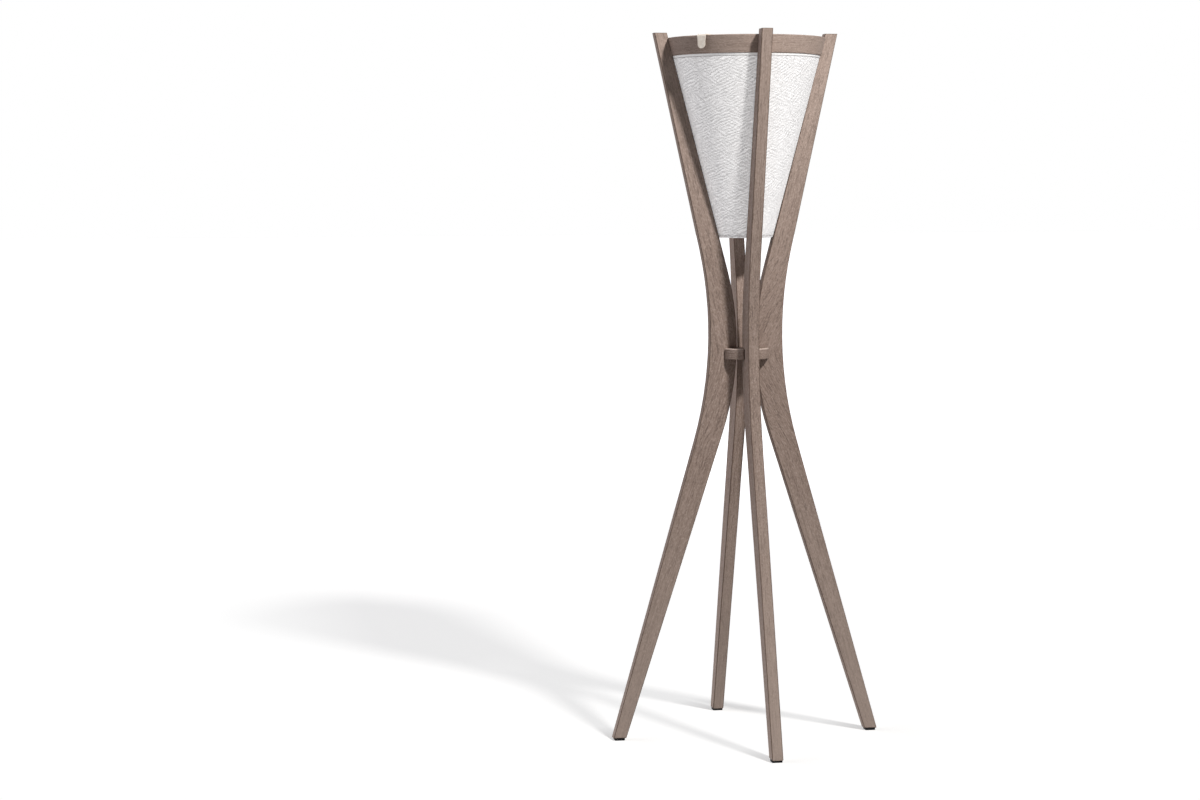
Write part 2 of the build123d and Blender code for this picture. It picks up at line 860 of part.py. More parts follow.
with BuildPart() as strap_rivet:
    with Locations(point_at(strap_angle, cover_screw_circle, cover_top + strap_thickness)):
        add(pan_screw(rivet_head, rivet_head_height, rivet_shank, strap_thickness + rivet_grip))
save(strap_rivet.part, "strap_rivet")

# Inner leads: from the middle plug up to the panel, from the outer two to the battery and the LED board
plug_top = board_top + plug_height
plug_face = plug_reach - plug_width / 2 - lead_end_gap
battery_end = lead_end_gap - led_board_radius - holder_gap
battery_lead_height = floor_top + holder_end_height - 2 * lead_radius
led_lead_height = board_top + plug_height / 2
led_lead_bottom = floor_top + led_board_thickness + lead_end_gap
led_lead_reach = led_board_radius - led_lead_inset
with BuildPart() as inner_leads:
    with BuildLine(upright(board_angle)) as panel_lead:
        Line((plug_reach, plug_top + lead_end_gap), (plug_reach, sheet_bottom - lead_end_gap))
    with BuildSketch(panel_lead.line ^ 0):
        Circle(lead_radius)
    sweep(path=panel_lead.line)
    with BuildLine(upright(board_angle).offset(-plug_spacing)) as battery_lead:
        Line((plug_face, battery_lead_height), (battery_end, battery_lead_height))
    with BuildSketch(battery_lead.line ^ 0):
        Circle(lead_radius)
    sweep(path=battery_lead.line)
    with BuildLine(upright(board_angle).offset(plug_spacing)) as led_lead:
        FilletPolyline(
            (plug_face, led_lead_height),
            (led_lead_reach, led_lead_height),
            (led_lead_reach, led_lead_bottom),
            radius=lead_bend,
        )
    with BuildSketch(led_lead.line ^ 0):
        Circle(lead_radius)
    sweep(path=led_lead.line)
save(inner_leads.part, "inner_leads")
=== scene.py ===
import math

import bmesh
import bpy
from mathutils import Matrix, Vector


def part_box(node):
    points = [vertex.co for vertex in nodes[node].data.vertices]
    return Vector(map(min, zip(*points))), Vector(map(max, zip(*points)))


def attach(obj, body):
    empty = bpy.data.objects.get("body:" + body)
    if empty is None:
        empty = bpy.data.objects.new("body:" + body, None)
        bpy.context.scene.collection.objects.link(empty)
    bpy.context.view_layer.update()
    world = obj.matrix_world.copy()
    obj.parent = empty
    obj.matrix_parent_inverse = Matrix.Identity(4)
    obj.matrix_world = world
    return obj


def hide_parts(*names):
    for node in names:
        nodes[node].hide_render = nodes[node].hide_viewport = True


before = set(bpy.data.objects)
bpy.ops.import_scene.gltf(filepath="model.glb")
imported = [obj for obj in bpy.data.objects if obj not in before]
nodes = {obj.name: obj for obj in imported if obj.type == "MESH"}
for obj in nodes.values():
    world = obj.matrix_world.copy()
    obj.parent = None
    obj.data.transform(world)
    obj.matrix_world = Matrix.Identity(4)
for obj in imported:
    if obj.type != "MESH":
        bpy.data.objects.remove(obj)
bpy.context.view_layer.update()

# A solar floor lamp in metres: the floor is Z = 0, the axis is Z, the front leg is towards -Y.

LEG_ANGLES = {"front": 270.0, "right": 0.0, "back": 90.0, "left": 180.0}

# The photograph's camera
CAMERA_PLACE = (-1.2844, -5.4173, 1.1720)
CAMERA_HEADING = -10.145
CAMERA_PITCH = 4.597
CAMERA_ROLL = -0.257
CAMERA_LENS_MM = 78.35
SENSOR_WIDTH_MM = 36.0

# Lights: a small key to the front right and above, a cool soft fill from the left, and a back light that
# falls on the wood alone, so that the floor keeps one shadow. Bearings are degrees to the right of the front
KEY_BEARING = 22.5
KEY_REACH = 2.28
KEY_HEIGHT = 3.24
KEY_SIZE = 0.30
KEY_WATTS = 414.0
KEY_COLOUR = (1.0, 0.985, 0.96)
FILL_BEARING = -105.0
FILL_ELEVATION = 20.0
FILL_STRENGTH = 1.36
FILL_SPREAD = 70.0
FILL_COLOUR = (0.985, 0.96, 1.0)
BACK_BEARING = 160.0
BACK_ELEVATION = 25.0
BACK_STRENGTH = 0.9
BACK_SPREAD = 60.0
BACK_COLOUR = (1.0, 0.99, 0.97)
SKY_STRENGTH = 0.01

# Floor: its half size, the tone of the light it gives back, how far from the key it turns plain white, how
# dark its shadows are, away from the feet and by them, and where they fade out along X
FLOOR_HALF = 60.0
PAPER_GRAIN = (60, 60, 60)
FLOOR_DARK = (0.57, 0.57, 0.57)
FLOOR_LIGHT = (0.59, 0.59, 0.59)
FLOOR_WHITE = 1.02
FLOOR_CATCH_MOST = 2.0
FLOOR_PLAIN_FROM = 5.5
FLOOR_PLAIN_TO = 8.0
FLOOR_SHADOW = 0.20
FLOOR_AMBIENT = 0.155
CONTACT_SHADOW = 0.22
CONTACT_NEAR = 0.015
CONTACT_FAR = 0.14
SHADOW_FADE_START = -0.66
SHADOW_FADE_END = -1.20

# Wood colours, and painted light that makes the wood lighter above one height and towards the floor
WOOD_DARK = (0.200, 0.144, 0.119)
WOOD_MID = (0.330, 0.247, 0.206)
WOOD_LIGHT = (0.480, 0.375, 0.325)
WOOD_PORE = (0.105, 0.076, 0.062)
WOOD_PAINTED_LIGHT = (0.600, 0.490, 0.430)
WOOD_EDGE = (0.130, 0.088, 0.066)
ARRIS_DARK = 0.75
TOP_LIGHT_FROM = 0.95
TOP_LIGHT_TO = 1.48
TOP_PAINTED_LIGHT = 0.20
FOOT_LIGHT_TOP = 0.60
FOOT_PAINTED_LIGHT = 0.48

# Wood grain: noise cycles per metre (two across the grain, one along it), how much of each shows, the width
# and share of dark edges, and the depth of the grain
FIGURE_GRAIN = (45, 45, 2.2)
STREAK_GRAIN = (330, 330, 9)
PORE_GRAIN = (470, 470, 40)
FLECK_GRAIN = (460, 460, 230)
FIBRE_GRAIN = (1900, 1900, 110)
MID_SHARE = 0.62
STREAK_SHARE = 0.34
PORE_SHARE = 0.62
DARK_FLECK_SHARE = 0.55
LIGHT_FLECK_SHARE = 0.70
FIBRE_SHARE = 0.35
EDGE_WIDTH = 0.003
EDGE_DARK = 0.40
GRAIN_DEPTH = 0.0003


class Shader:
    """One material's node tree. Most methods add nodes and return an output socket."""

    def __init__(self, name):
        self.material = bpy.data.materials.new(name)
        self.material.use_nodes = True
        self.tree = self.material.node_tree
        self.tree.nodes.clear()
        self.output = self.tree.nodes.new("ShaderNodeOutputMaterial")

    def add(self, kind, inputs=None, **settings):
        node = self.tree.nodes.new(kind)
        for key, value in settings.items():
            setattr(node, key, value)
        for key, value in (inputs or {}).items():
            self.feed(node.inputs[key], value)
        return node

    def feed(self, socket, value):
        if isinstance(value, bpy.types.NodeSocket):
            self.tree.links.new(value, socket)
        elif socket.type == "RGBA" and len(value) == 3:
            socket.default_value = (*value, 1.0)
        else:
            socket.default_value = value

    def math(self, operation, *values):
        return self.add("ShaderNodeMath", dict(enumerate(values)), operation=operation).outputs[0]

    def position(self):
        return self.add("ShaderNodeTexCoord").outputs["Object"]

    def flat_place(self):
        return self.add("ShaderNodeUVMap", uv_map="flat").outputs["UV"]

    def split(self, vector):
        return self.add("ShaderNodeSeparateXYZ", {0: vector}).outputs

    def join(self, x, y, z):
        return self.add("ShaderNodeCombineXYZ", {0: x, 1: y, 2: z}).outputs[0]

    def dot(self, vector, direction):
        node = self.add("ShaderNodeVectorMath", {0: vector, 1: direction}, operation="DOT_PRODUCT")
        return node.outputs["Value"]

    def scaled(self, vector, factors):
        return self.add("ShaderNodeVectorMath", {0: vector, 1: factors}, operation="MULTIPLY").outputs[0]

    def noise(self, vector, detail=2.0, roughness=0.5, distortion=0.0):
        inputs = {"Vector": vector, "Scale": 1.0, "Detail": detail, "Roughness": roughness}
        inputs["Distortion"] = distortion
        return self.add("ShaderNodeTexNoise", inputs).outputs["Fac"]

    def ripples(self, place, slant, pitch):
        """Fine waves on a flat place, patchy and uneven, that rise to the right by a slant in degrees."""
        turn = math.radians(slant)
        across = self.dot(place, (math.cos(turn), -math.sin(turn), 0))
        along = self.dot(place, (math.sin(turn), math.cos(turn), 0))
        waver = self.noise(self.scaled(self.join(across, along, slant), RIPPLE_WAVER), detail=2.0)
        waves = self.math("MULTIPLY", across, 2 * math.pi / pitch)
        phase = self.math("MULTIPLY_ADD", waver, RIPPLE_DRIFT, waves)
        patches = self.noise(self.scaled(self.join(across, along, slant), RIPPLE_PATCHES), detail=1.0)
        return self.math("MULTIPLY", self.math("SINE", phase), self.span(patches, 0.35, 0.60))

    def span(self, value, low, high, out_low=0.0, out_high=1.0):
        inputs = {0: value, 1: low, 2: high, 3: out_low, 4: out_high}
        return self.add("ShaderNodeMapRange", inputs, clamp=True).outputs[0]

    def mix(self, factor, first, second):
        return self.add("ShaderNodeMix", {0: factor, 6: first, 7: second}, data_type="RGBA").outputs[2]

    def bump(self, height, distance, strength=1.0):
        inputs = {"Height": height, "Distance": distance, "Strength": strength}
        return self.add("ShaderNodeBump", inputs).outputs["Normal"]

    def edges(self, radius):
        """1 on edges sharper than the radius and 0 on flat faces."""
        rounded = self.add("ShaderNodeBevel", {"Radius": radius}, samples=6).outputs[0]
        plain = self.add("ShaderNodeNewGeometry").outputs["Normal"]
        facing = self.add("ShaderNodeVectorMath", {0: rounded, 1: plain}, operation="DOT_PRODUCT")
        return self.span(facing.outputs["Value"], 0.995, 0.90)

    def surface(self, **inputs):
        """The one principled surface, by socket names with _ for a space."""
        shader = self.add("ShaderNodeBsdfPrincipled", {key.replace("_", " "): v for key, v in inputs.items()})
        self.tree.links.new(shader.outputs[0], self.output.inputs["Surface"])
        return self.material


def dress(material, *names):
    """Gives CAD nodes a material."""
    for name in names:
        slots = nodes[name].material_slots
        for slot in slots:
            slot.material = material


def wood(name, grain_space, lightness, painted_highlight=None, arris=None):
    """Stained wood: grain_space gives a place in metres whose Z runs along the grain.

    The fourth argument gives a mask of painted highlight, and arris a mask of darker rounded edges.
    """
    dark, mid, light, pore = [
        tuple(lightness * part for part in colour) for colour in (WOOD_DARK, WOOD_MID, WOOD_LIGHT, WOOD_PORE)
    ]
    s = Shader(name)
    place = grain_space(s)
    figure = s.noise(s.scaled(place, FIGURE_GRAIN), detail=3.0, roughness=0.55, distortion=0.4)
    streaks = s.noise(s.scaled(place, STREAK_GRAIN), detail=3.0, roughness=0.6)
    pores = s.noise(s.scaled(place, PORE_GRAIN), detail=2.0, roughness=0.6)
    flecks = s.noise(s.scaled(place, FLECK_GRAIN), detail=1.0)
    fibres = s.noise(s.scaled(place, FIBRE_GRAIN), detail=1.0)
    tone = s.mix(s.span(figure, 0.30, 0.70), dark, light)
    tone = s.mix(MID_SHARE, tone, mid)
    lines = s.mix(s.span(streaks, 0.34, 0.66), dark, light)
    tone = s.mix(STREAK_SHARE, tone, lines)
    pore_mask = s.span(pores, 0.54, 0.68)
    tone = s.mix(s.math("MULTIPLY", pore_mask, PORE_SHARE), tone, pore)
    tone = s.mix(s.span(flecks, 0.44, 0.30, 0.0, DARK_FLECK_SHARE), tone, dark)
    tone = s.mix(s.span(flecks, 0.56, 0.72, 0.0, LIGHT_FLECK_SHARE), tone, light)
    tone = s.mix(s.span(fibres, 0.60, 0.74, 0.0, FIBRE_SHARE), tone, light)
    height = s.split(s.position())[2]
    # Painted light: lighter towards the top and towards the floor, standing in for more light falling there
    tone = s.mix(s.span(height, TOP_LIGHT_FROM, TOP_LIGHT_TO, 0.0, TOP_PAINTED_LIGHT), tone, WOOD_PAINTED_LIGHT)
    tone = s.mix(s.span(height, FOOT_LIGHT_TOP, 0.0, 0.0, FOOT_PAINTED_LIGHT), tone, WOOD_PAINTED_LIGHT)
    tone = s.mix(s.math("MULTIPLY", s.edges(EDGE_WIDTH), EDGE_DARK), tone, WOOD_EDGE)
    # Painted highlight where the mask asks for it
    if painted_highlight:
        tone = s.mix(painted_highlight(s), tone, WOOD_PAINTED_LIGHT)
    if arris:
        tone = s.mix(s.math("MULTIPLY", arris(s), ARRIS_DARK), tone, WOOD_EDGE)
    relief = s.math("SUBTRACT", s.math("MULTIPLY", streaks, 0.5), pore_mask)
    return s.surface(
        Base_Color=tone,
        Roughness=s.span(streaks, 0.3, 0.7, 0.58, 0.74),
        Specular_IOR_Level=0.10,
        Normal=s.bump(relief, GRAIN_DEPTH, 0.6),
    )


# Legs: the bow that the grain follows, as a hyperbola about the waist, how far the grain runs out of each
# board, and the boards' half thickness and rounding
WAIST_HEIGHT = 0.828
BOW_SLOPE = 0.2729
BOW_LEAN = -0.032
BOW_ROUND = 0.012
RUNOUT = {"front": 0.01, "right": 0.06, "back": 0.01, "left": 0.015}
RUNOUT_HEIGHT = 0.20
LEG_HALF = 0.012
LEG_ROUND = 0.002
GRAIN_SHIFT = 3.1


def leg_grain(angle, shift, runout):
    """Grain that runs along both straight halves of a leg and turns at the waist."""
    out = (math.cos(math.radians(angle)), math.sin(math.radians(angle)), 0)
    across = (-math.sin(math.radians(angle)), math.cos(math.radians(angle)), 0)

    def space(s):
        position = s.position()
        height = s.split(position)[2]
        rise = s.math("SUBTRACT", height, WAIST_HEIGHT)
        bend = s.math("POWER", s.math("MULTIPLY", rise, BOW_SLOPE), 2.0)
        bow = s.math("SQRT", s.math("ADD", bend, BOW_ROUND**2))
        bow = s.math("ADD", bow, s.span(s.math("ABSOLUTE", rise), 0.0, RUNOUT_HEIGHT, 0.0, runout))
        centre = s.math("MULTIPLY_ADD", rise, BOW_LEAN, bow)
        reach = s.math("SUBTRACT", s.dot(position, out), centre)
        return s.join(reach, s.math("ADD", s.dot(position, across), shift), s.math("ADD", height, shift))

    return space


def leg_arris(angle):
    """1 on the rounded edges along a leg and 0 on its flat faces."""
    across = (-math.sin(math.radians(angle)), math.cos(math.radians(angle)), 0)

    def mask(s):
        off = s.math("ABSOLUTE", s.dot(s.position(), across))
        inner = s.span(off, LEG_HALF - LEG_ROUND, LEG_HALF - 0.8 * LEG_ROUND)
        outer = s.span(off, LEG_HALF - 0.03 * LEG_ROUND, LEG_HALF - 0.08 * LEG_ROUND)
        return s.math("MULTIPLY", inner, outer)

    return mask


def ring_grain(radius):
    """Grain that runs round the lamp's axis."""

    def space(s):
        x, y, z = s.split(s.position())
        turn = s.math("ARCTAN2", y, x)
        reach = s.math("SQRT", s.math("ADD", s.math("MULTIPLY", x, x), s.math("MULTIPLY", y, y)))
        return s.join(reach, z, s.math("MULTIPLY", turn, radius))

    return space


# Plastics and metals: noise cycles per metre of their finish, its depth, and the width of lighter edges
MOULD_GRAIN = (900, 900, 900)
MOULD_DEPTH = 0.00008
MOULD_EDGE = 0.0015
MOTTLE_GRAIN = (22, 22, 22)
BLAST_GRAIN = (700, 700, 700)
BLAST_DEPTH = 0.00005
BLAST_EDGE = 0.001
TARNISH_GRAIN = (30, 30, 30)


def moulded(name, colour, roughness, specular=0.5):
    """Moulded plastic or rubber with a fine spark-eroded texture and slight mottling."""
    s = Shader(name)
    place = s.position()
    fine = s.noise(s.scaled(place, MOULD_GRAIN), detail=2.0)
    broad = s.noise(s.scaled(place, MOTTLE_GRAIN), detail=3.0)
    darker = tuple(0.82 * part for part in colour)
    lighter = tuple(min(1.0, 1.08 * part + 0.004) for part in colour)
    tone = s.mix(s.span(broad, 0.3, 0.7), darker, lighter)
    tone = s.mix(s.math("MULTIPLY", s.edges(MOULD_EDGE), 0.25), tone, lighter)
    return s.surface(
        Base_Color=tone,
        Roughness=s.span(broad, 0.3, 0.7, roughness - 0.06, roughness + 0.06),
        Specular_IOR_Level=specular,
        Normal=s.bump(fine, MOULD_DEPTH, 0.5),
    )


def metal(name, colour, roughness):
    """Metal with a fine blasted finish and brighter edges."""
    s = Shader(name)
    place = s.position()
    fine = s.noise(s.scaled(place, BLAST_GRAIN), detail=2.0)
    broad = s.noise(s.scaled(place, TARNISH_GRAIN), detail=2.0)
    bright = tuple(min(1.0, 1.25 * part) for part in colour)
    tone = s.mix(s.span(broad, 0.3, 0.7, 0.0, 0.25), colour, bright)
    tone = s.mix(s.math("MULTIPLY", s.edges(BLAST_EDGE), 0.6), tone, bright)
    return s.surface(
        Base_Color=tone,
        Metallic=1.0,
        Roughness=s.span(fine, 0.3, 0.7, roughness - 0.08, roughness + 0.08),
        Normal=s.bump(fine, BLAST_DEPTH, 0.4),
    )


# Hub and ring: the hub's rounded edge, its painted highlight and its mouths, the radius that the grain is laid
# out at, and tones
HUB_EDGE = 0.0026
HUB_MOUTH = 0.003
HUB_HIGHLIGHT_SHARE = 0.9
HUB_RADIUS = 0.05
HUB_TONE = 0.98
RING_RADIUS = 0.165
RING_TONE = 1.06
hub_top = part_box("waist_hub")[1]


def hub_painted_highlight(s):
    """How far the hub's upper rounded edge is painted lighter, a painted highlight where light catches it."""
    x, y, z = s.split(s.position())
    reach = s.math("SQRT", s.math("ADD", s.math("MULTIPLY", x, x), s.math("MULTIPLY", y, y)))
    high = s.span(z, hub_top.z - HUB_EDGE, hub_top.z - 0.5 * HUB_EDGE)
    outer = s.span(reach, hub_top.x - 2 * HUB_EDGE, hub_top.x - HUB_EDGE)
    return s.math("MULTIPLY", s.math("MULTIPLY", high, outer), HUB_HIGHLIGHT_SHARE)


def hub_mouths(s):
    """1 on the hub beside each leg, where its mouths are rounded."""
    x, y, _ = s.split(s.position())
    beside = s.math("MINIMUM", s.math("ABSOLUTE", x), s.math("ABSOLUTE", y))
    return s.span(beside, LEG_HALF + HUB_MOUTH, LEG_HALF + 0.5 * HUB_MOUTH)


# Wooden frame: each leg's colours are scaled by a tone of its own
WOODEN = [f"leg_{name}" for name in LEG_ANGLES] + ["rim_ring", "waist_hub"]
LEG_TONES = {"front": 0.97, "right": 0.95, "back": 1.12, "left": 1.01}
for number, (leg_name, leg_angle) in enumerate(LEG_ANGLES.items()):
    grain = leg_grain(leg_angle, GRAIN_SHIFT * (number + 1), RUNOUT[leg_name])
    leg_wood = wood(f"wood_leg_{leg_name}", grain, LEG_TONES[leg_name], arris=leg_arris(leg_angle))
    dress(leg_wood, f"leg_{leg_name}")
dress(wood("wood_ring", ring_grain(RING_RADIUS), RING_TONE), "rim_ring")
dress(wood("wood_hub", ring_grain(HUB_RADIUS), HUB_TONE, hub_painted_highlight, hub_mouths), "waist_hub")


# Shade: cloth over the top ring, rolled round the wire hoop, and the CAD nodes that its glow falls on
IN_SHADE = ["shade_top_ring", "shade_bottom_hoop", "module_tray", "diffuser", "power_button"]
CLOTH_THICKNESS = 0.0012
CLOTH_FIT = 0.0001
HEM_HEIGHT = 0.012
ROUND_STEPS = 256
FALL_STEPS = 40
ROLL_STEPS = 12
HEM_STEPS = 3
SEAM_ANGLE = 65.0
WEFT_ANGLE = 250.0

# Cloth: ripples that slant both ways, noise cycles per metre of the flat cut, colours, and the glow, painted
# light that stands in for light scattered inside the cloth
RIPPLE_SLANT = 26.0
RIPPLE_PITCH = 0.0060
RIPPLE_WAVER = (70, 38, 1)
RIPPLE_PATCHES = (30, 30, 1)
RIPPLE_DRIFT = 14.0
RISING = 0.30
FALLING = 0.20
LOOSE_GRAIN = (330, 90, 1)
SLUB_GRAIN = (1000, 110, 1)
THREAD_GRAIN = (75, 900, 1)
WEAVE_PITCH = 0.0011
WEAVE_DEPTH = 0.0007
CLOTH_DARK = (0.83, 0.822, 0.825)
CLOTH_LIGHT = (1.0, 0.995, 0.997)
CLOTH_SLUB = (0.84, 0.83, 0.835)
CLOTH_SEAM_SHADE = (0.36, 0.35, 0.35)
CLOTH_TOP_TONE = 0.95
THROUGH_SHARE = 0.45
CLOTH_GLOW = 0.53
GLOW_THICK = 0.70
GLOW_THIN = 1.22

# Trims: tape along the top edge, a lapped joint down the back, and two stitched seams, with a glow on the tape
# and lap that is painted light
TRIM_GRAIN = (1500, 1500, 400)
TRIM_MOTTLE = (60, 60, 60)
TRIM_DEPTH = 0.0002
TRIM_GLOW_COLOUR = (1.0, 0.985, 0.99, 1.0)
TAPE_COLOUR = (0.97, 0.965, 0.965)
TAPE_GLOW = 0.20
LAP_COLOUR = (0.93, 0.92, 0.92)
LAP_GLOW = 0.28
THREAD_COLOUR = (0.86, 0.85, 0.85)
BINDING_HEIGHT = 0.0045
BINDING_PROUD = 0.0005
BINDING_SINK = 0.0002
BINDING_STEPS = 8
LAP_WIDTH = 0.012
LAP_PROUD = 0.0005
LAP_SINK = 0.0002
LAP_ROWS = 40
LAP_STEPS = 8
STITCH_PITCH = 0.0040
STITCH_LENGTH = 0.0028
STITCH_RADIUS = 0.00035
STITCH_SIDES = 6
SEAM_DEPTH = 0.0006
SEAM_WIDTH = 0.0013
SEAM_BELOW_TAPE = 0.0008
SEAM_ABOVE_ROLL = 0.0015
GROOVE_SPREAD = 0.0006
GROOVE_STEP = 0.0004

cloth_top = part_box("shade_fabric")[1]
hoop_low, hoop_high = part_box("shade_bottom_hoop")
wire_radius = (hoop_high.z - hoop_low.z) / 2
hoop_centre = Vector((hoop_high.x - wire_radius, (hoop_low.z + hoop_high.z) / 2))
roll_radius = wire_radius + CLOTH_FIT + CLOTH_THICKNESS / 2
top_edge = Vector((cloth_top.x - CLOTH_THICKNESS / 2, cloth_top.z))
to_hoop = hoop_centre - top_edge
fall = math.atan2(to_hoop.y, to_hoop.x) + math.asin(roll_radius / to_hoop.length)
down = Vector((math.cos(fall), math.sin(fall)))
inward = Vector((down.y, -down.x))
run_length = math.sqrt(to_hoop.length_squared - roll_radius**2)
cone_angle = math.acos(-down.y)
apex = top_edge.x / math.sin(cone_angle)
top_seam = BINDING_HEIGHT + SEAM_BELOW_TAPE
hem_seam = run_length - SEAM_ABOVE_ROLL


def shade_path():
    """The cloth's middle line as (reach, height, fall): down from the top, round the hoop, up inside."""
    grooves = (top_seam, hem_seam)
    fine = [groove + step * GROOVE_STEP for groove in grooves for step in range(-3, 4)]
    even = [run_length * i / FALL_STEPS for i in range(FALL_STEPS + 1)]
    path = []
    for distance in sorted(set(fine + even)):
        nearest = min(abs(distance - groove) for groove in grooves)
        dip = SEAM_DEPTH * math.exp(-((nearest / GROOVE_SPREAD) ** 2))
        point = top_edge + down * distance + inward * dip
        path.append((point.x, point.y, distance))
    for i in range(1, ROLL_STEPS + 1):
        turn = math.pi * i / ROLL_STEPS
        point = hoop_centre - inward * roll_radius * math.cos(turn) + down * roll_radius * math.sin(turn)
        path.append((point.x, point.y, run_length + roll_radius * turn))
    for i in range(1, HEM_STEPS + 1):
        distance = HEM_HEIGHT * i / HEM_STEPS
        point = hoop_centre + inward * roll_radius - down * distance
        path.append((point.x, point.y, run_length + roll_radius * math.pi + distance))
    return path


def shine_only_on(sources, lit_nodes):
    """Lamps or glowing pieces light these CAD nodes alone."""
    lit = bpy.data.collections.new(f"lit_by_{sources[0].name}")
    for node in lit_nodes:
        lit.objects.link(nodes[node])
    for source in sources:
        source.light_linking.receiver_collection = lit


def new_piece(name, mesh, body, material, smooth=True):
    """A piece of the object that rides on a CAD body."""
    piece = bpy.data.objects.new(name, mesh)
    bpy.context.scene.collection.objects.link(piece)
    mesh.materials.append(material)
    for face in mesh.polygons:
        face.use_smooth = smooth
    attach(piece, body)
    return piece


def cloth_material():
    """White woven cloth: slanting ripples, slubs, a fine weave, painted shade along its seams and a glow that
    is painted light, lying as in the flat cut.
    """
    s = Shader("shade_weave")
    place = s.flat_place()
    x, y, _ = s.split(place)
    rising = s.ripples(place, RIPPLE_SLANT, RIPPLE_PITCH)
    falling = s.ripples(place, -RIPPLE_SLANT, RIPPLE_PITCH)
    ripples = s.math("ADD", s.math("MULTIPLY", rising, RISING), s.math("MULTIPLY", falling, FALLING))
    loose = s.noise(s.scaled(place, LOOSE_GRAIN), detail=2.0, roughness=0.55, distortion=0.5)
    ribs = s.math("ADD", ripples, loose)
    slubs = s.noise(s.scaled(place, SLUB_GRAIN), detail=2.0, roughness=0.6)
    threads = s.noise(s.scaled(place, THREAD_GRAIN), detail=2.0, roughness=0.6)
    warp = s.math("SINE", s.math("MULTIPLY", x, 2 * math.pi / WEAVE_PITCH))
    weft = s.math("SINE", s.math("MULTIPLY", y, 2 * math.pi / WEAVE_PITCH))
    weave = s.math("MULTIPLY", warp, weft)
    tone = s.mix(s.span(ribs, 0.20, 0.80), CLOTH_DARK, CLOTH_LIGHT)
    tone = s.mix(s.span(slubs, 0.60, 0.35, 0.0, 0.25), tone, CLOTH_SLUB)
    slant = s.add("ShaderNodeVectorMath", {0: place}, operation="LENGTH").outputs["Value"]
    fallen = s.math("SUBTRACT", apex, slant)
    # A little darker towards the top, which offsets the near key light
    evened = s.span(fallen, 0.0, run_length, CLOTH_TOP_TONE, 1.0)
    tone = s.add("ShaderNodeVectorMath", {0: tone, "Scale": evened}, operation="SCALE").outputs["Vector"]
    # Painted shade: the cloth is darker along its seams, in their grooves
    for seam in (top_seam, hem_seam):
        near = s.math("ABSOLUTE", s.math("SUBTRACT", fallen, seam))
        tone = s.mix(s.span(near, SEAM_WIDTH, 0.4 * SEAM_WIDTH, 0.0, 0.8), tone, CLOTH_SEAM_SHADE)
    height = s.math("ADD", ribs, s.math("MULTIPLY", slubs, 0.5))
    height = s.math("ADD", s.math("MULTIPLY", weave, 0.10), height)
    height = s.math("ADD", height, s.math("MULTIPLY", threads, 0.3))
    normal = s.bump(height, WEAVE_DEPTH, 0.6)
    # Painted light: pale places are thin ones, which let out more of the scattered light
    thin = s.mix(s.span(ribs, 0.30, 0.70), (GLOW_THICK,) * 3, (GLOW_THIN,) * 3)
    scattered = s.add("ShaderNodeVectorMath", {0: tone, 1: thin}, operation="MULTIPLY").outputs["Vector"]
    cloth = s.add(
        "ShaderNodeBsdfPrincipled",
        {
            "Base Color": tone,
            "Roughness": 0.92,
            "Specular IOR Level": 0.15,
            "Sheen Weight": 0.25,
            "Emission Color": scattered,
            "Emission Strength": CLOTH_GLOW,
            "Normal": normal,
        },
    )
    through = s.add("ShaderNodeBsdfTranslucent", {"Color": tone, "Normal": normal})
    both = s.add("ShaderNodeMixShader", {0: THROUGH_SHARE, 1: cloth.outputs[0], 2: through.outputs[0]})
    s.tree.links.new(both.outputs[0], s.output.inputs["Surface"])
    return s.material


def trim_material(name, colour, glow):
    """White woven tape or thread: fine ribs across its run."""
    s = Shader(name)
    place = s.position()
    ribs = s.noise(s.scaled(place, TRIM_GRAIN), detail=2.0)
    broad = s.noise(s.scaled(place, TRIM_MOTTLE), detail=2.0)
    darker = tuple(0.92 * part for part in colour)
    tone = s.mix(s.span(broad, 0.3, 0.7), darker, colour)
    return s.surface(
        Base_Color=tone,
        Roughness=s.span(ribs, 0.3, 0.7, 0.80, 0.92),
        Specular_IOR_Level=0.15,
        # Painted light: a glow that stands in for light coming through the cloth from inside the shade
        Emission_Color=TRIM_GLOW_COLOUR,
        Emission_Strength=glow,
        Normal=s.bump(ribs, TRIM_DEPTH, 0.5),
    )


def skin(builder, rows):
    """Faces between rows of points, each row closed on itself."""
    for first, second in zip(rows, rows[1:]):
        for k in range(len(first)):
            m = (k + 1) % len(first)
            builder.faces.new((first[k], second[k], second[m], first[m]))


def built(name, builder, outwards=False):
    """The builder's points and faces as a mesh, with its faces turned outwards if asked."""
    if outwards:
        bmesh.ops.recalc_face_normals(builder, faces=builder.faces[:])
    mesh = bpy.data.meshes.new(name)
    builder.to_mesh(mesh)
    builder.free()
    return mesh


def swept_round(name, profile, material):
    """A piece of the shade: a closed profile of (reach, height) points swept once round the axis."""
    builder = bmesh.new()
    rings = []
    for i in range(ROUND_STEPS):
        turn = 2 * math.pi * i / ROUND_STEPS
        rings.append([builder.verts.new((r * math.cos(turn), r * math.sin(turn), z)) for r, z in profile])
    skin(builder, rings + rings[:1])
    return new_piece(name, built(name, builder, True), "lamp_frame", material)


def on_shade(fallen, outwards):
    """A point on the shade's side as (reach, height), measured from the cloth's outer face."""
    return top_edge + down * fallen - inward * (CLOTH_THICKNESS / 2 + outwards)


def make_binding():
    """The tape along the shade's top edge, slightly rounded."""
    profile = [on_shade(0.0, -BINDING_SINK), on_shade(BINDING_HEIGHT, -BINDING_SINK)]
    for i in range(BINDING_STEPS + 1):
        share = 1 - i / BINDING_STEPS
        # A low arch whose ends stand a little proud too
        proud = BINDING_PROUD * math.sin(math.pi * (0.08 + 0.84 * share))
        profile.append(on_shade(BINDING_HEIGHT * share, proud))
    return swept_round("shade_tape", profile, trim_material("shade_tape", TAPE_COLOUR, TAPE_GLOW))


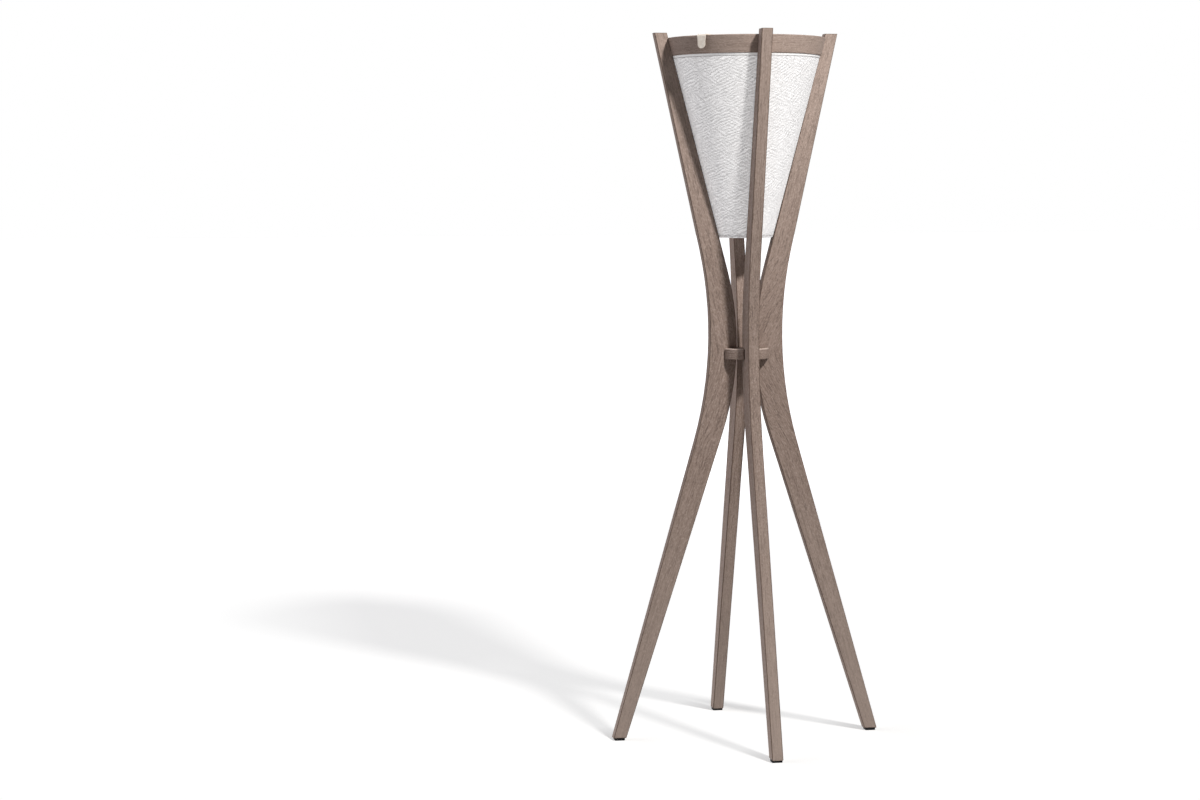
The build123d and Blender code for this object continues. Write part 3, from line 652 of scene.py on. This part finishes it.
def make_lap():
    """The lapped and glued joint down the back of the shade: a low strip, set a little into the cloth."""
    shares = [2 * k / LAP_STEPS - 1 for k in range(LAP_STEPS + 1)]
    profile = [(share, LAP_PROUD * min(1.0, 4 * (1 - abs(share)))) for share in shares]
    profile += [(1.0, -LAP_SINK), (-1.0, -LAP_SINK)]
    builder = bmesh.new()
    rows = []
    for i in range(LAP_ROWS + 1):
        reach, height = on_shade(BINDING_HEIGHT + (hem_seam - BINDING_HEIGHT) * i / LAP_ROWS, 0.0)
        row = []
        for share, rise in profile:
            turn = math.radians(SEAM_ANGLE) + share * LAP_WIDTH / 2 / reach
            out = reach + rise
            row.append(builder.verts.new((out * math.cos(turn), out * math.sin(turn), height)))
        rows.append(row)
    skin(builder, rows)
    builder.faces.new(rows[0])
    builder.faces.new(rows[-1][::-1])
    mesh = built("shade_lap", builder, True)
    material = trim_material("shade_lap", LAP_COLOUR, LAP_GLOW)
    return new_piece("shade_lap", mesh, "lamp_frame", material, smooth=False)


def make_stitches(name, fallen):
    """A row of stitches round the shade, lying in its seam."""
    builder = bmesh.new()
    reach, height = on_shade(fallen, STITCH_RADIUS / 2 - SEAM_DEPTH)
    count = round(2 * math.pi * reach / STITCH_PITCH)
    for i in range(count):
        turn = 2 * math.pi * i / count
        out = Vector((math.cos(turn), math.sin(turn), 0))
        along = Vector((-out.y, out.x, 0))
        centre = out * reach + Vector((0, 0, height))
        rings = []
        for share in (-1.0, -0.7, 0.0, 0.7, 1.0):
            swell = STITCH_RADIUS * (0.35 if abs(share) == 1.0 else 1.0)
            middle = centre + along * (share * STITCH_LENGTH / 2)
            ring = []
            for k in range(STITCH_SIDES):
                angle = 2 * math.pi * k / STITCH_SIDES
                side = out * math.cos(angle) + Vector((0, 0, math.sin(angle)))
                ring.append(builder.verts.new(middle + side * swell))
            rings.append(ring)
        skin(builder, rings)
        builder.faces.new(rings[0])
        builder.faces.new(rings[-1][::-1])
    material = trim_material(name, THREAD_COLOUR, 0.0)
    return new_piece(name, built(name, builder), "lamp_frame", material)


def make_shade():
    """The cone of cloth, with its flat cut as a UV map in metres."""
    path = shade_path()
    builder = bmesh.new()
    flat = builder.loops.layers.uv.new("flat")
    from_weft = math.radians(WEFT_ANGLE - SEAM_ANGLE)
    rings = []
    for reach, height, _ in path:
        ring = []
        for i in range(ROUND_STEPS):
            turn = math.radians(SEAM_ANGLE) + 2 * math.pi * i / ROUND_STEPS
            ring.append(builder.verts.new((reach * math.cos(turn), reach * math.sin(turn), height)))
        rings.append(ring)
    for row in range(len(path) - 1):
        for i in range(ROUND_STEPS):
            j = (i + 1) % ROUND_STEPS
            face = builder.faces.new((rings[row][i], rings[row + 1][i], rings[row + 1][j], rings[row][j]))
            corners = ((row, i), (row + 1, i), (row + 1, i + 1), (row, i + 1))
            for loop, (corner_row, corner_step) in zip(face.loops, corners):
                turn = (2 * math.pi * corner_step / ROUND_STEPS - from_weft) * math.sin(cone_angle)
                slant = apex - path[corner_row][2]
                loop[flat].uv = (slant * math.cos(turn), slant * math.sin(turn))
    mesh = built("shade_cloth", builder)
    shade = new_piece("shade_cloth", mesh, "lamp_frame", cloth_material())
    solid = shade.modifiers.new("thickness", "SOLIDIFY")
    solid.thickness = CLOTH_THICKNESS
    solid.offset = 0.0
    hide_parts("shade_fabric")
    trims = [make_binding(), make_lap()]
    trims += [make_stitches("stitch_top", top_seam), make_stitches("stitch_hem", hem_seam)]
    # The glow stands in for light scattered inside the cloth, so it doesn't light the legs or the cloth
    shine_only_on([shade] + trims, IN_SHADE)


make_shade()


# Strap: a leather band from the cover over the ring's edge
STRAP_THICKNESS = 0.0014
STRAP_WIDTH = 0.022
STRAP_TIP_WIDTH = 0.018
STRAP_TAPER = 0.016
STRAP_BEND = 0.003
STRAP_END_ROUND = 0.0088
STRAP_ANGLE = 225.0
STRAP_EDGE = 0.0005
STRAP_STEPS = 36
STRAP_END_STEPS = 10
STRAP_SIDES = 8
LEATHER_MOTTLE = (160, 160, 160)
PEBBLE_SCALE = 1100.0
PEBBLE_DEPTH = 0.00018
LEATHER_DARK = (0.82, 0.735, 0.645)
LEATHER_LIGHT = (0.93, 0.86, 0.77)
LEATHER_EDGE = (0.62, 0.52, 0.42)
LEATHER_EDGE_WIDTH = 0.0012
strap_low, strap_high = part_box("pull_strap")
strap_out = Vector((math.cos(math.radians(STRAP_ANGLE)), math.sin(math.radians(STRAP_ANGLE)), 0))
strap_side = Vector((-strap_out.y, strap_out.x, 0))


def leather_material():
    """Natural leather: pebbled grain, uneven tone and darker cut edges."""
    s = Shader("strap_leather")
    place = s.position()
    pebbles = s.add("ShaderNodeTexVoronoi", {"Vector": place, "Scale": PEBBLE_SCALE}).outputs["Distance"]
    broad = s.noise(s.scaled(place, LEATHER_MOTTLE), detail=3.0)
    tone = s.mix(s.span(broad, 0.3, 0.7), LEATHER_DARK, LEATHER_LIGHT)
    tone = s.mix(s.math("MULTIPLY", s.edges(LEATHER_EDGE_WIDTH), 0.35), tone, LEATHER_EDGE)
    return s.surface(
        Base_Color=tone,
        Roughness=s.span(broad, 0.3, 0.7, 0.62, 0.76),
        Specular_IOR_Level=0.3,
        Normal=s.bump(pebbles, PEBBLE_DEPTH, 0.6),
    )


def make_strap():
    """A tapering band swept along its bend, with a rounded end."""
    corners = [Vector((x, y, 0)) for x in (strap_low.x, strap_high.x) for y in (strap_low.y, strap_high.y)]
    reaches = [corner.dot(strap_out) for corner in corners]
    half = STRAP_WIDTH / 2
    out_reach = max(reaches) - half - STRAP_THICKNESS / 2
    root_reach = min(reaches) + half
    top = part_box("top_cover")[1].z + STRAP_THICKNESS / 2
    end = strap_low.z
    flat_run = out_reach - STRAP_BEND - root_reach
    bend_run = STRAP_BEND * math.pi / 2
    hang_run = top - STRAP_BEND - end
    total = flat_run + bend_run + hang_run

    def place(distance):
        if distance <= flat_run:
            return root_reach + distance, top
        if distance <= flat_run + bend_run:
            turn = (distance - flat_run) / STRAP_BEND
            return out_reach - STRAP_BEND * (1 - math.sin(turn)), top - STRAP_BEND * (1 - math.cos(turn))
        return out_reach, top - STRAP_BEND - (distance - flat_run - bend_run)

    def half_width(distance):
        narrowed = min(1.0, max(0.0, (distance - flat_run) / STRAP_TAPER))
        here = half + narrowed * (STRAP_TIP_WIDTH / 2 - half)
        into_end = max(0.0, STRAP_END_ROUND - (total - distance))
        return here - STRAP_END_ROUND + math.sqrt(max(0.0, STRAP_END_ROUND**2 - into_end**2))

    # Even steps along the band, and finer ones round its end
    steps = [total * i / STRAP_STEPS for i in range(STRAP_STEPS - 3)]
    turns = [math.pi / 2 * i / STRAP_END_STEPS for i in range(STRAP_END_STEPS + 1)]
    steps += [total - STRAP_END_ROUND * (1 - math.sin(turn)) for turn in turns]
    steps = sorted(set(round(step, 6) for step in steps))
    builder = bmesh.new()
    rows = []
    for distance in steps:
        reach, height = place(distance)
        row = []
        for i in range(STRAP_SIDES + 1):
            side = half_width(distance) * (2 * i / STRAP_SIDES - 1)
            spot = strap_out * reach + strap_side * side
            row.append(builder.verts.new((spot.x, spot.y, height)))
        rows.append(row)
    for first, second in zip(rows, rows[1:]):
        for i in range(STRAP_SIDES):
            builder.faces.new((first[i], first[i + 1], second[i + 1], second[i]))
    mesh = built("strap_leather", builder)
    strap = new_piece("strap_leather", mesh, "solar_module", leather_material())
    solid = strap.modifiers.new("thickness", "SOLIDIFY")
    solid.thickness = STRAP_THICKNESS
    solid.offset = 0.0
    edge = strap.modifiers.new("edge", "BEVEL")
    edge.width = STRAP_EDGE
    edge.segments = 3
    edge.limit_method = "ANGLE"
    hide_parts("pull_strap")


make_strap()


# Module and small parts: the cells' printed silver lines with their soft edges, and the panel's glass
CELL_PITCH = 0.0435
BAR_HALF = 0.0006
BAR_SOFT = 0.0001
FINGER_PITCH = 0.001
FINGER_HALF = 0.00006
FINGER_SOFT = 0.00004
SHEEN_GRAIN = (40, 40, 40)
SILICON_DARK = (0.006, 0.011, 0.034)
SILICON_LIGHT = (0.014, 0.024, 0.070)
FINGER_SILVER = (0.30, 0.32, 0.36)
BAR_SILVER = (0.55, 0.56, 0.58)
GLASS_GRAIN = (600, 600, 600)
GLASS_TINT = (0.93, 0.96, 0.95)
GLASS_DEPTH = 0.00002


def cell_material():
    """Dark silicon cells with silver bus bars and fine fingers."""
    s = Shader("solar_cell_face")
    x, y, _ = s.split(s.position())
    across = s.math("PINGPONG", s.math("ADD", x, CELL_PITCH / 4), CELL_PITCH / 4)
    bar = s.span(across, BAR_HALF + BAR_SOFT, BAR_HALF)
    between = s.math("PINGPONG", y, FINGER_PITCH)
    fingers = s.span(between, FINGER_HALF + FINGER_SOFT, FINGER_HALF)
    sheen = s.noise(s.scaled(s.position(), SHEEN_GRAIN), detail=3.0)
    silicon = s.mix(s.span(sheen, 0.3, 0.7), SILICON_DARK, SILICON_LIGHT)
    tone = s.mix(s.math("MULTIPLY", fingers, 0.2), silicon, FINGER_SILVER)
    tone = s.mix(bar, tone, BAR_SILVER)
    roughness = s.span(bar, 0.0, 1.0, 0.18, 0.35)
    return s.surface(Base_Color=tone, Roughness=roughness, Coat_Weight=0.4, Coat_Roughness=0.08)


def glass_material():
    """Clear toughened glass with a faint prismatic texture."""
    s = Shader("panel_glass_face")
    fine = s.noise(s.scaled(s.position(), GLASS_GRAIN), detail=1.0)
    return s.surface(
        Base_Color=GLASS_TINT,
        Roughness=s.span(fine, 0.3, 0.7, 0.04, 0.09),
        Transmission_Weight=1.0,
        IOR=1.5,
        Normal=s.bump(fine, GLASS_DEPTH, 0.10),
    )


zinc = metal("zinc_steel", (0.52, 0.52, 0.53), 0.34)
dress(zinc, "glide_pins", "shade_bottom_hoop", "led_screws", "board_screws")
dress(moulded("shade_ring_white", (0.80, 0.80, 0.78), 0.55), "shade_top_ring")
dress(moulded("tray_white", (0.76, 0.76, 0.74), 0.5), "module_tray")
dress(metal("cover_aluminium", (0.42, 0.42, 0.43), 0.42), "top_cover")
dress(moulded("gasket_black", (0.02, 0.02, 0.02), 0.8), "cover_gasket")
dress(glass_material(), "solar_glass")
dress(cell_material(), "solar_cells")
dress(moulded("back_sheet_white", (0.78, 0.78, 0.78), 0.5), "solar_back_sheet")
dress(moulded("led_board_white", (0.82, 0.82, 0.80), 0.35), "led_board")
dress(moulded("led_phosphor", (0.80, 0.62, 0.14), 0.4), "led_chips")
dress(moulded("diffuser_opal", (0.84, 0.84, 0.82), 0.42), "diffuser")
dress(moulded("holder_black", (0.03, 0.03, 0.03), 0.5), "battery_holder")
dress(moulded("battery_sleeve", (0.04, 0.20, 0.28), 0.3), "battery_cells")
dress(moulded("board_green", (0.02, 0.15, 0.06), 0.35), "control_board")
dress(moulded("component_black", (0.04, 0.04, 0.04), 0.5), "board_components", "push_switch")
dress(moulded("button_rubber", (0.10, 0.10, 0.10), 0.7), "power_button")
dress(moulded("lead_red", (0.33, 0.02, 0.02), 0.4), "inner_leads")


# Screws with a hexagon socket in the head, and the strap's domed rivet
SCREW_SIDES = 24
SOCKET_SHARE = 0.46
RING_SCREWS = 8
RING_SCREW_ANGLE = 22.5
DIFFUSER_SCREWS = 3
DIFFUSER_SCREW_ANGLE = 60.0
# Radius of the head and of the shank
COVER_SCREW = (0.0027, 0.0014)
SHADE_SCREW = (0.0030, 0.0015)
DIFFUSER_SCREW = (0.0023, 0.0012)
LEG_SCREW = (0.0045, 0.00225)
LEG_SCREW_LENGTH = 0.042
RIVET_HEIGHT = 0.0008
DOME_ANGLES = (0.25, 0.5, 0.8, 1.1, 1.4, 1.57)
RIVET_BRASS = (0.55, 0.43, 0.24)


def turned(builder, origin, axis, rings):
    """Adds rings of (radius by turn, depth) about an axis, closed by points at both ends."""
    across = axis.orthogonal().normalized()
    beside = axis.cross(across)
    rows = []
    for radius_at, depth in rings:
        row = []
        for i in range(SCREW_SIDES):
            turn = 2 * math.pi * i / SCREW_SIDES
            side = across * math.cos(turn) + beside * math.sin(turn)
            row.append(builder.verts.new(origin + side * radius_at(turn) - axis * depth))
        rows.append(row)
    skin(builder, rows)
    for row, depth in ((rows[0], rings[0][1]), (rows[-1], rings[-1][1])):
        tip = builder.verts.new(origin - axis * depth)
        for i in range(SCREW_SIDES):
            builder.faces.new((tip, row[i], row[(i + 1) % SCREW_SIDES]))


def round_at(radius):
    """A circle, as a radius by turn."""
    return lambda turn: radius


def hexagon_at(radius):
    """A hexagon with its corners at a radius, as a radius by turn."""
    return lambda turn: radius * math.cos(math.pi / 6) / math.cos(turn % (math.pi / 3) - math.pi / 6)


def make_screws(node, body, places, head, shank, length):
    """Countersunk screws in place of a CAD node, at places as (middle of the head's face, way it faces)."""
    builder = bmesh.new()
    socket = SOCKET_SHARE * head
    for origin, axis in places:
        # From the floor of the socket, over the head and down the shank to the tip
        rings = [
            (hexagon_at(socket), 0.42 * head),
            (hexagon_at(socket), 0.03 * head),
            (hexagon_at(1.08 * socket), 0.0),
            (round_at(0.93 * head), 0.0),
            (round_at(0.94 * head), 0.05 * head),
            (round_at(shank), head - shank),
            (round_at(shank), 0.9 * length),
            (round_at(0.25 * shank), length),
        ]
        turned(builder, Vector(origin), Vector(axis), rings)
    mesh = built(f"{node}_socket", builder, True)
    piece = new_piece(f"{node}_socket", mesh, body, zinc, smooth=False)
    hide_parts(node)


def around(first_angle, count, reach, height, axis):
    """Places on a circle about the lamp's axis."""
    turns = [math.radians(first_angle + 360.0 * i / count) for i in range(count)]
    return [((reach * math.cos(turn), reach * math.sin(turn), height), axis) for turn in turns]


def make_all_screws():
    """The screws of the cover, the shade's ring, the diffuser and the legs, where the CAD has them."""
    up, below = (0, 0, 1), (0, 0, -1)
    x_share = math.cos(math.radians(RING_SCREW_ANGLE))
    low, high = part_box("cover_screws")
    reach = (high.x - COVER_SCREW[0]) / x_share
    places = around(RING_SCREW_ANGLE, RING_SCREWS, reach, high.z, up)
    make_screws("cover_screws", "solar_module", places, *COVER_SCREW, high.z - low.z)
    low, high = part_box("shade_screws")
    reach = (high.x - SHADE_SCREW[0]) / x_share
    places = around(RING_SCREW_ANGLE, RING_SCREWS, reach, low.z, below)
    make_screws("shade_screws", "lamp_frame", places, *SHADE_SCREW, high.z - low.z)
    low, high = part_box("diffuser_screws")
    reach = -low.x - DIFFUSER_SCREW[0]
    places = around(DIFFUSER_SCREW_ANGLE, DIFFUSER_SCREWS, reach, low.z, below)
    make_screws("diffuser_screws", "solar_module", places, *DIFFUSER_SCREW, high.z - low.z)
    low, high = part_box("leg_screws")
    middle = (low.z + high.z) / 2
    places = []
    for angle in LEG_ANGLES.values():
        out = Vector((math.cos(math.radians(angle)), math.sin(math.radians(angle)), 0))
        places.append((out * (high.x - LEG_SCREW_LENGTH) + Vector((0, 0, middle)), -out))
    make_screws("leg_screws", "lamp_frame", places, *LEG_SCREW, LEG_SCREW_LENGTH)


def make_rivet():
    """A low domed rivet through the strap's root."""
    low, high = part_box("strap_rivet")
    origin = Vector(((low.x + high.x) / 2, (low.y + high.y) / 2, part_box("top_cover")[1].z + STRAP_THICKNESS))
    head = (high.x - low.x) / 2
    builder = bmesh.new()
    dome = [(round_at(head * math.sin(angle)), -RIVET_HEIGHT * math.cos(angle)) for angle in DOME_ANGLES]
    pin = round_at(0.4 * head)
    shank = [(round_at(0.97 * head), 0.0), (pin, 0.0), (pin, origin.z - low.z)]
    turned(builder, origin, Vector((0, 0, 1)), dome + shank)
    mesh = built("rivet_dome", builder, True)
    brass = metal("rivet_brass", RIVET_BRASS, 0.3)
    rivet = new_piece("rivet_dome", mesh, "solar_module", brass)
    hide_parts("strap_rivet")


make_all_screws()
make_rivet()


# Glides: square rubber pads with rounded corners
GLIDE_HALF = 0.0110
GLIDE_CORNER = 0.0030
GLIDE_EDGE = 0.0006
CORNER_STEPS = 6
GLIDE_BLACK = (0.010, 0.010, 0.012)


def make_glide(name, material):
    """A rounded square pad between the floor and the leg's end, in place of the CAD's plain pad."""
    low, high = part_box(f"glide_{name}")
    centre = (low + high) / 2
    rows = []
    builder = bmesh.new()
    rounding = ((GLIDE_EDGE, 0.0), (0.3 * GLIDE_EDGE, 0.3 * GLIDE_EDGE), (0.0, GLIDE_EDGE))
    levels = [(inset, low.z + rise) for inset, rise in rounding]
    levels += [(inset, high.z - rise) for inset, rise in reversed(rounding)]
    for inset, height in levels:
        row = []
        for corner in range(4):
            for step in range(CORNER_STEPS + 1):
                turn = math.pi / 2 * (corner + step / CORNER_STEPS)
                quarter = Matrix.Rotation(math.pi / 2 * corner, 2)
                middle = quarter @ Vector((1, 1)) * (GLIDE_HALF - GLIDE_CORNER)
                spot = middle + Vector((math.cos(turn), math.sin(turn))) * (GLIDE_CORNER - inset)
                row.append(builder.verts.new((centre.x + spot.x, centre.y + spot.y, height)))
        rows.append(row)
    count = len(rows[0])
    for first, second in zip(rows, rows[1:]):
        for i in range(count):
            j = (i + 1) % count
            builder.faces.new((first[i], first[j], second[j], second[i]))
    builder.faces.new(rows[0][::-1])
    builder.faces.new(rows[-1])
    mesh = built(f"glide_pad_{name}", builder)
    pad = new_piece(f"glide_pad_{name}", mesh, "lamp_frame", material, smooth=False)
    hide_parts(f"glide_{name}")


black_rubber = moulded("black_glide", GLIDE_BLACK, 0.6, specular=0.12)
for leg_name in LEG_ANGLES:
    make_glide(leg_name, black_rubber)


# Floor, light and camera
def key_place():
    """Where the key lamp is."""
    turn = math.radians(KEY_BEARING)
    return (KEY_REACH * math.sin(turn), -KEY_REACH * math.cos(turn), KEY_HEIGHT)


def floor_material():
    """Pale floor: seen white by the camera and in reflections, with the lamp's shadow on it."""
    s = Shader("studio_floor")
    place = s.position()
    paper = s.noise(s.scaled(place, PAPER_GRAIN), detail=3.0)
    tone = s.mix(s.span(paper, 0.3, 0.7), FLOOR_DARK, FLOOR_LIGHT)
    plain = s.add("ShaderNodeBsdfDiffuse", {"Color": tone})
    away = s.add("ShaderNodeVectorMath", {0: place, 1: key_place()}, operation="DISTANCE").outputs["Value"]
    near_foot = 2 * FLOOR_HALF
    for leg_name in LEG_ANGLES:
        low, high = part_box(f"glide_{leg_name}")
        foot = ((low.x + high.x) / 2, (low.y + high.y) / 2, 0.0)
        to_foot = s.add("ShaderNodeVectorMath", {0: place, 1: foot}, operation="DISTANCE").outputs["Value"]
        near_foot = s.math("MINIMUM", near_foot, to_foot)
    contact = s.span(near_foot, CONTACT_NEAR, CONTACT_FAR, CONTACT_SHADOW, 0.0)
    density = s.math("ADD", contact, FLOOR_SHADOW)
    fade = s.span(s.split(place)[0], SHADOW_FADE_END, SHADOW_FADE_START)
    density = s.math("MULTIPLY", density, fade)
    # A white floor would send back KEY_WATTS * KEY_HEIGHT / (4 pi^2 away^3) of the key's light, so this one
    # sends back the density wherever the key reaches it, and its emission makes up the white
    level = s.math("MULTIPLY", density, 4 * math.pi**2 / (KEY_WATTS * KEY_HEIGHT))
    catch = s.math("MULTIPLY", s.math("POWER", away, 3.0), level)
    catch = s.math("MINIMUM", catch, FLOOR_CATCH_MOST)
    shade = s.add("ShaderNodeBsdfDiffuse", {"Color": s.join(catch, catch, catch)})
    ambient = s.math("MULTIPLY", catch, FLOOR_AMBIENT)
    near = s.math("SUBTRACT", s.math("SUBTRACT", FLOOR_WHITE, density), ambient)
    strength = s.math("MAXIMUM", near, s.span(away, FLOOR_PLAIN_FROM, FLOOR_PLAIN_TO))
    glow = s.add("ShaderNodeEmission", {"Color": (1.0, 1.0, 1.0), "Strength": strength})
    white = s.add("ShaderNodeAddShader", {0: shade.outputs[0], 1: glow.outputs[0]})
    path = s.add("ShaderNodeLightPath").outputs
    seen = s.math("MAXIMUM", path["Is Camera Ray"], path["Is Glossy Ray"])
    seen = s.math("MAXIMUM", seen, path["Is Transmission Ray"])
    both = s.add("ShaderNodeMixShader", {0: seen, 1: plain.outputs[0], 2: white.outputs[0]})
    s.tree.links.new(both.outputs[0], s.output.inputs["Surface"])
    return s.material


def make_floor():
    """A wide floor at Z = 0."""
    mesh = bpy.data.meshes.new("floor")
    corners = [(x * FLOOR_HALF, y * FLOOR_HALF, 0) for x, y in ((-1, -1), (1, -1), (1, 1), (-1, 1))]
    mesh.from_pydata(corners, [], [(0, 1, 2, 3)])
    mesh.materials.append(floor_material())
    floor = bpy.data.objects.new("floor", mesh)
    bpy.context.scene.collection.objects.link(floor)


def make_world():
    """Even sky light, white where the camera or a reflection looks at it."""
    world = bpy.data.worlds.new("studio")
    world.use_nodes = True
    tree = world.node_tree
    tree.nodes.clear()
    path = tree.nodes.new("ShaderNodeLightPath")
    seen = tree.nodes.new("ShaderNodeMath")
    seen.operation = "MAXIMUM"
    tree.links.new(path.outputs["Is Camera Ray"], seen.inputs[0])
    tree.links.new(path.outputs["Is Transmission Ray"], seen.inputs[1])
    seen_too = tree.nodes.new("ShaderNodeMath")
    seen_too.operation = "MAXIMUM"
    tree.links.new(seen.outputs[0], seen_too.inputs[0])
    tree.links.new(path.outputs["Is Glossy Ray"], seen_too.inputs[1])
    light = tree.nodes.new("ShaderNodeBackground")
    light.inputs["Strength"].default_value = SKY_STRENGTH
    light.inputs["Color"].default_value = (1.0, 1.0, 1.0, 1.0)
    white = tree.nodes.new("ShaderNodeBackground")
    white.inputs["Strength"].default_value = 1.0
    white.inputs["Color"].default_value = (1.0, 1.0, 1.0, 1.0)
    mix = tree.nodes.new("ShaderNodeMixShader")
    tree.links.new(seen_too.outputs[0], mix.inputs[0])
    tree.links.new(light.outputs[0], mix.inputs[1])
    tree.links.new(white.outputs[0], mix.inputs[2])
    output = tree.nodes.new("ShaderNodeOutputWorld")
    tree.links.new(mix.outputs[0], output.inputs["Surface"])
    bpy.context.scene.world = world


def make_sun(name, bearing, elevation, strength, spread, colour, only_on=()):
    """A broad lamp shining from a bearing and an elevation, on everything or on some CAD nodes alone."""
    data = bpy.data.lights.new(name, "SUN")
    data.energy = strength
    data.angle = math.radians(spread)
    data.color = colour
    lamp = bpy.data.objects.new(name, data)
    turn, lift = math.radians(bearing), math.radians(elevation)
    source = Vector((math.sin(turn) * math.cos(lift), -math.cos(turn) * math.cos(lift), math.sin(lift)))
    lamp.rotation_mode = "QUATERNION"
    lamp.rotation_quaternion = source.to_track_quat("Z", "Y")
    bpy.context.scene.collection.objects.link(lamp)
    if only_on:
        shine_only_on([lamp], only_on)


def make_key():
    """A small round lamp at its place."""
    data = bpy.data.lights.new("key", "POINT")
    data.energy = KEY_WATTS
    data.shadow_soft_size = KEY_SIZE / 2
    data.color = KEY_COLOUR
    lamp = bpy.data.objects.new("key", data)
    lamp.location = key_place()
    bpy.context.scene.collection.objects.link(lamp)


def make_camera():
    """The camera that took the photograph, as fitted to it."""
    data = bpy.data.cameras.new("camera")
    data.lens = CAMERA_LENS_MM
    data.sensor_width = SENSOR_WIDTH_MM
    data.sensor_fit = "HORIZONTAL"
    camera = bpy.data.objects.new("camera", data)
    heading = Matrix.Rotation(math.radians(CAMERA_HEADING), 4, "Z")
    tilt = Matrix.Rotation(math.radians(90 - CAMERA_PITCH), 4, "X")
    roll = Matrix.Rotation(math.radians(CAMERA_ROLL), 4, "Z")
    camera.matrix_world = Matrix.Translation(CAMERA_PLACE) @ heading @ tilt @ roll
    bpy.context.scene.collection.objects.link(camera)
    bpy.context.scene.camera = camera


make_floor()
make_world()
make_key()
make_sun("fill", FILL_BEARING, FILL_ELEVATION, FILL_STRENGTH, FILL_SPREAD, FILL_COLOUR)
make_sun("back", BACK_BEARING, BACK_ELEVATION, BACK_STRENGTH, BACK_SPREAD, BACK_COLOUR, WOODEN)
make_camera()
bpy.context.scene.view_settings.view_transform = "Standard"
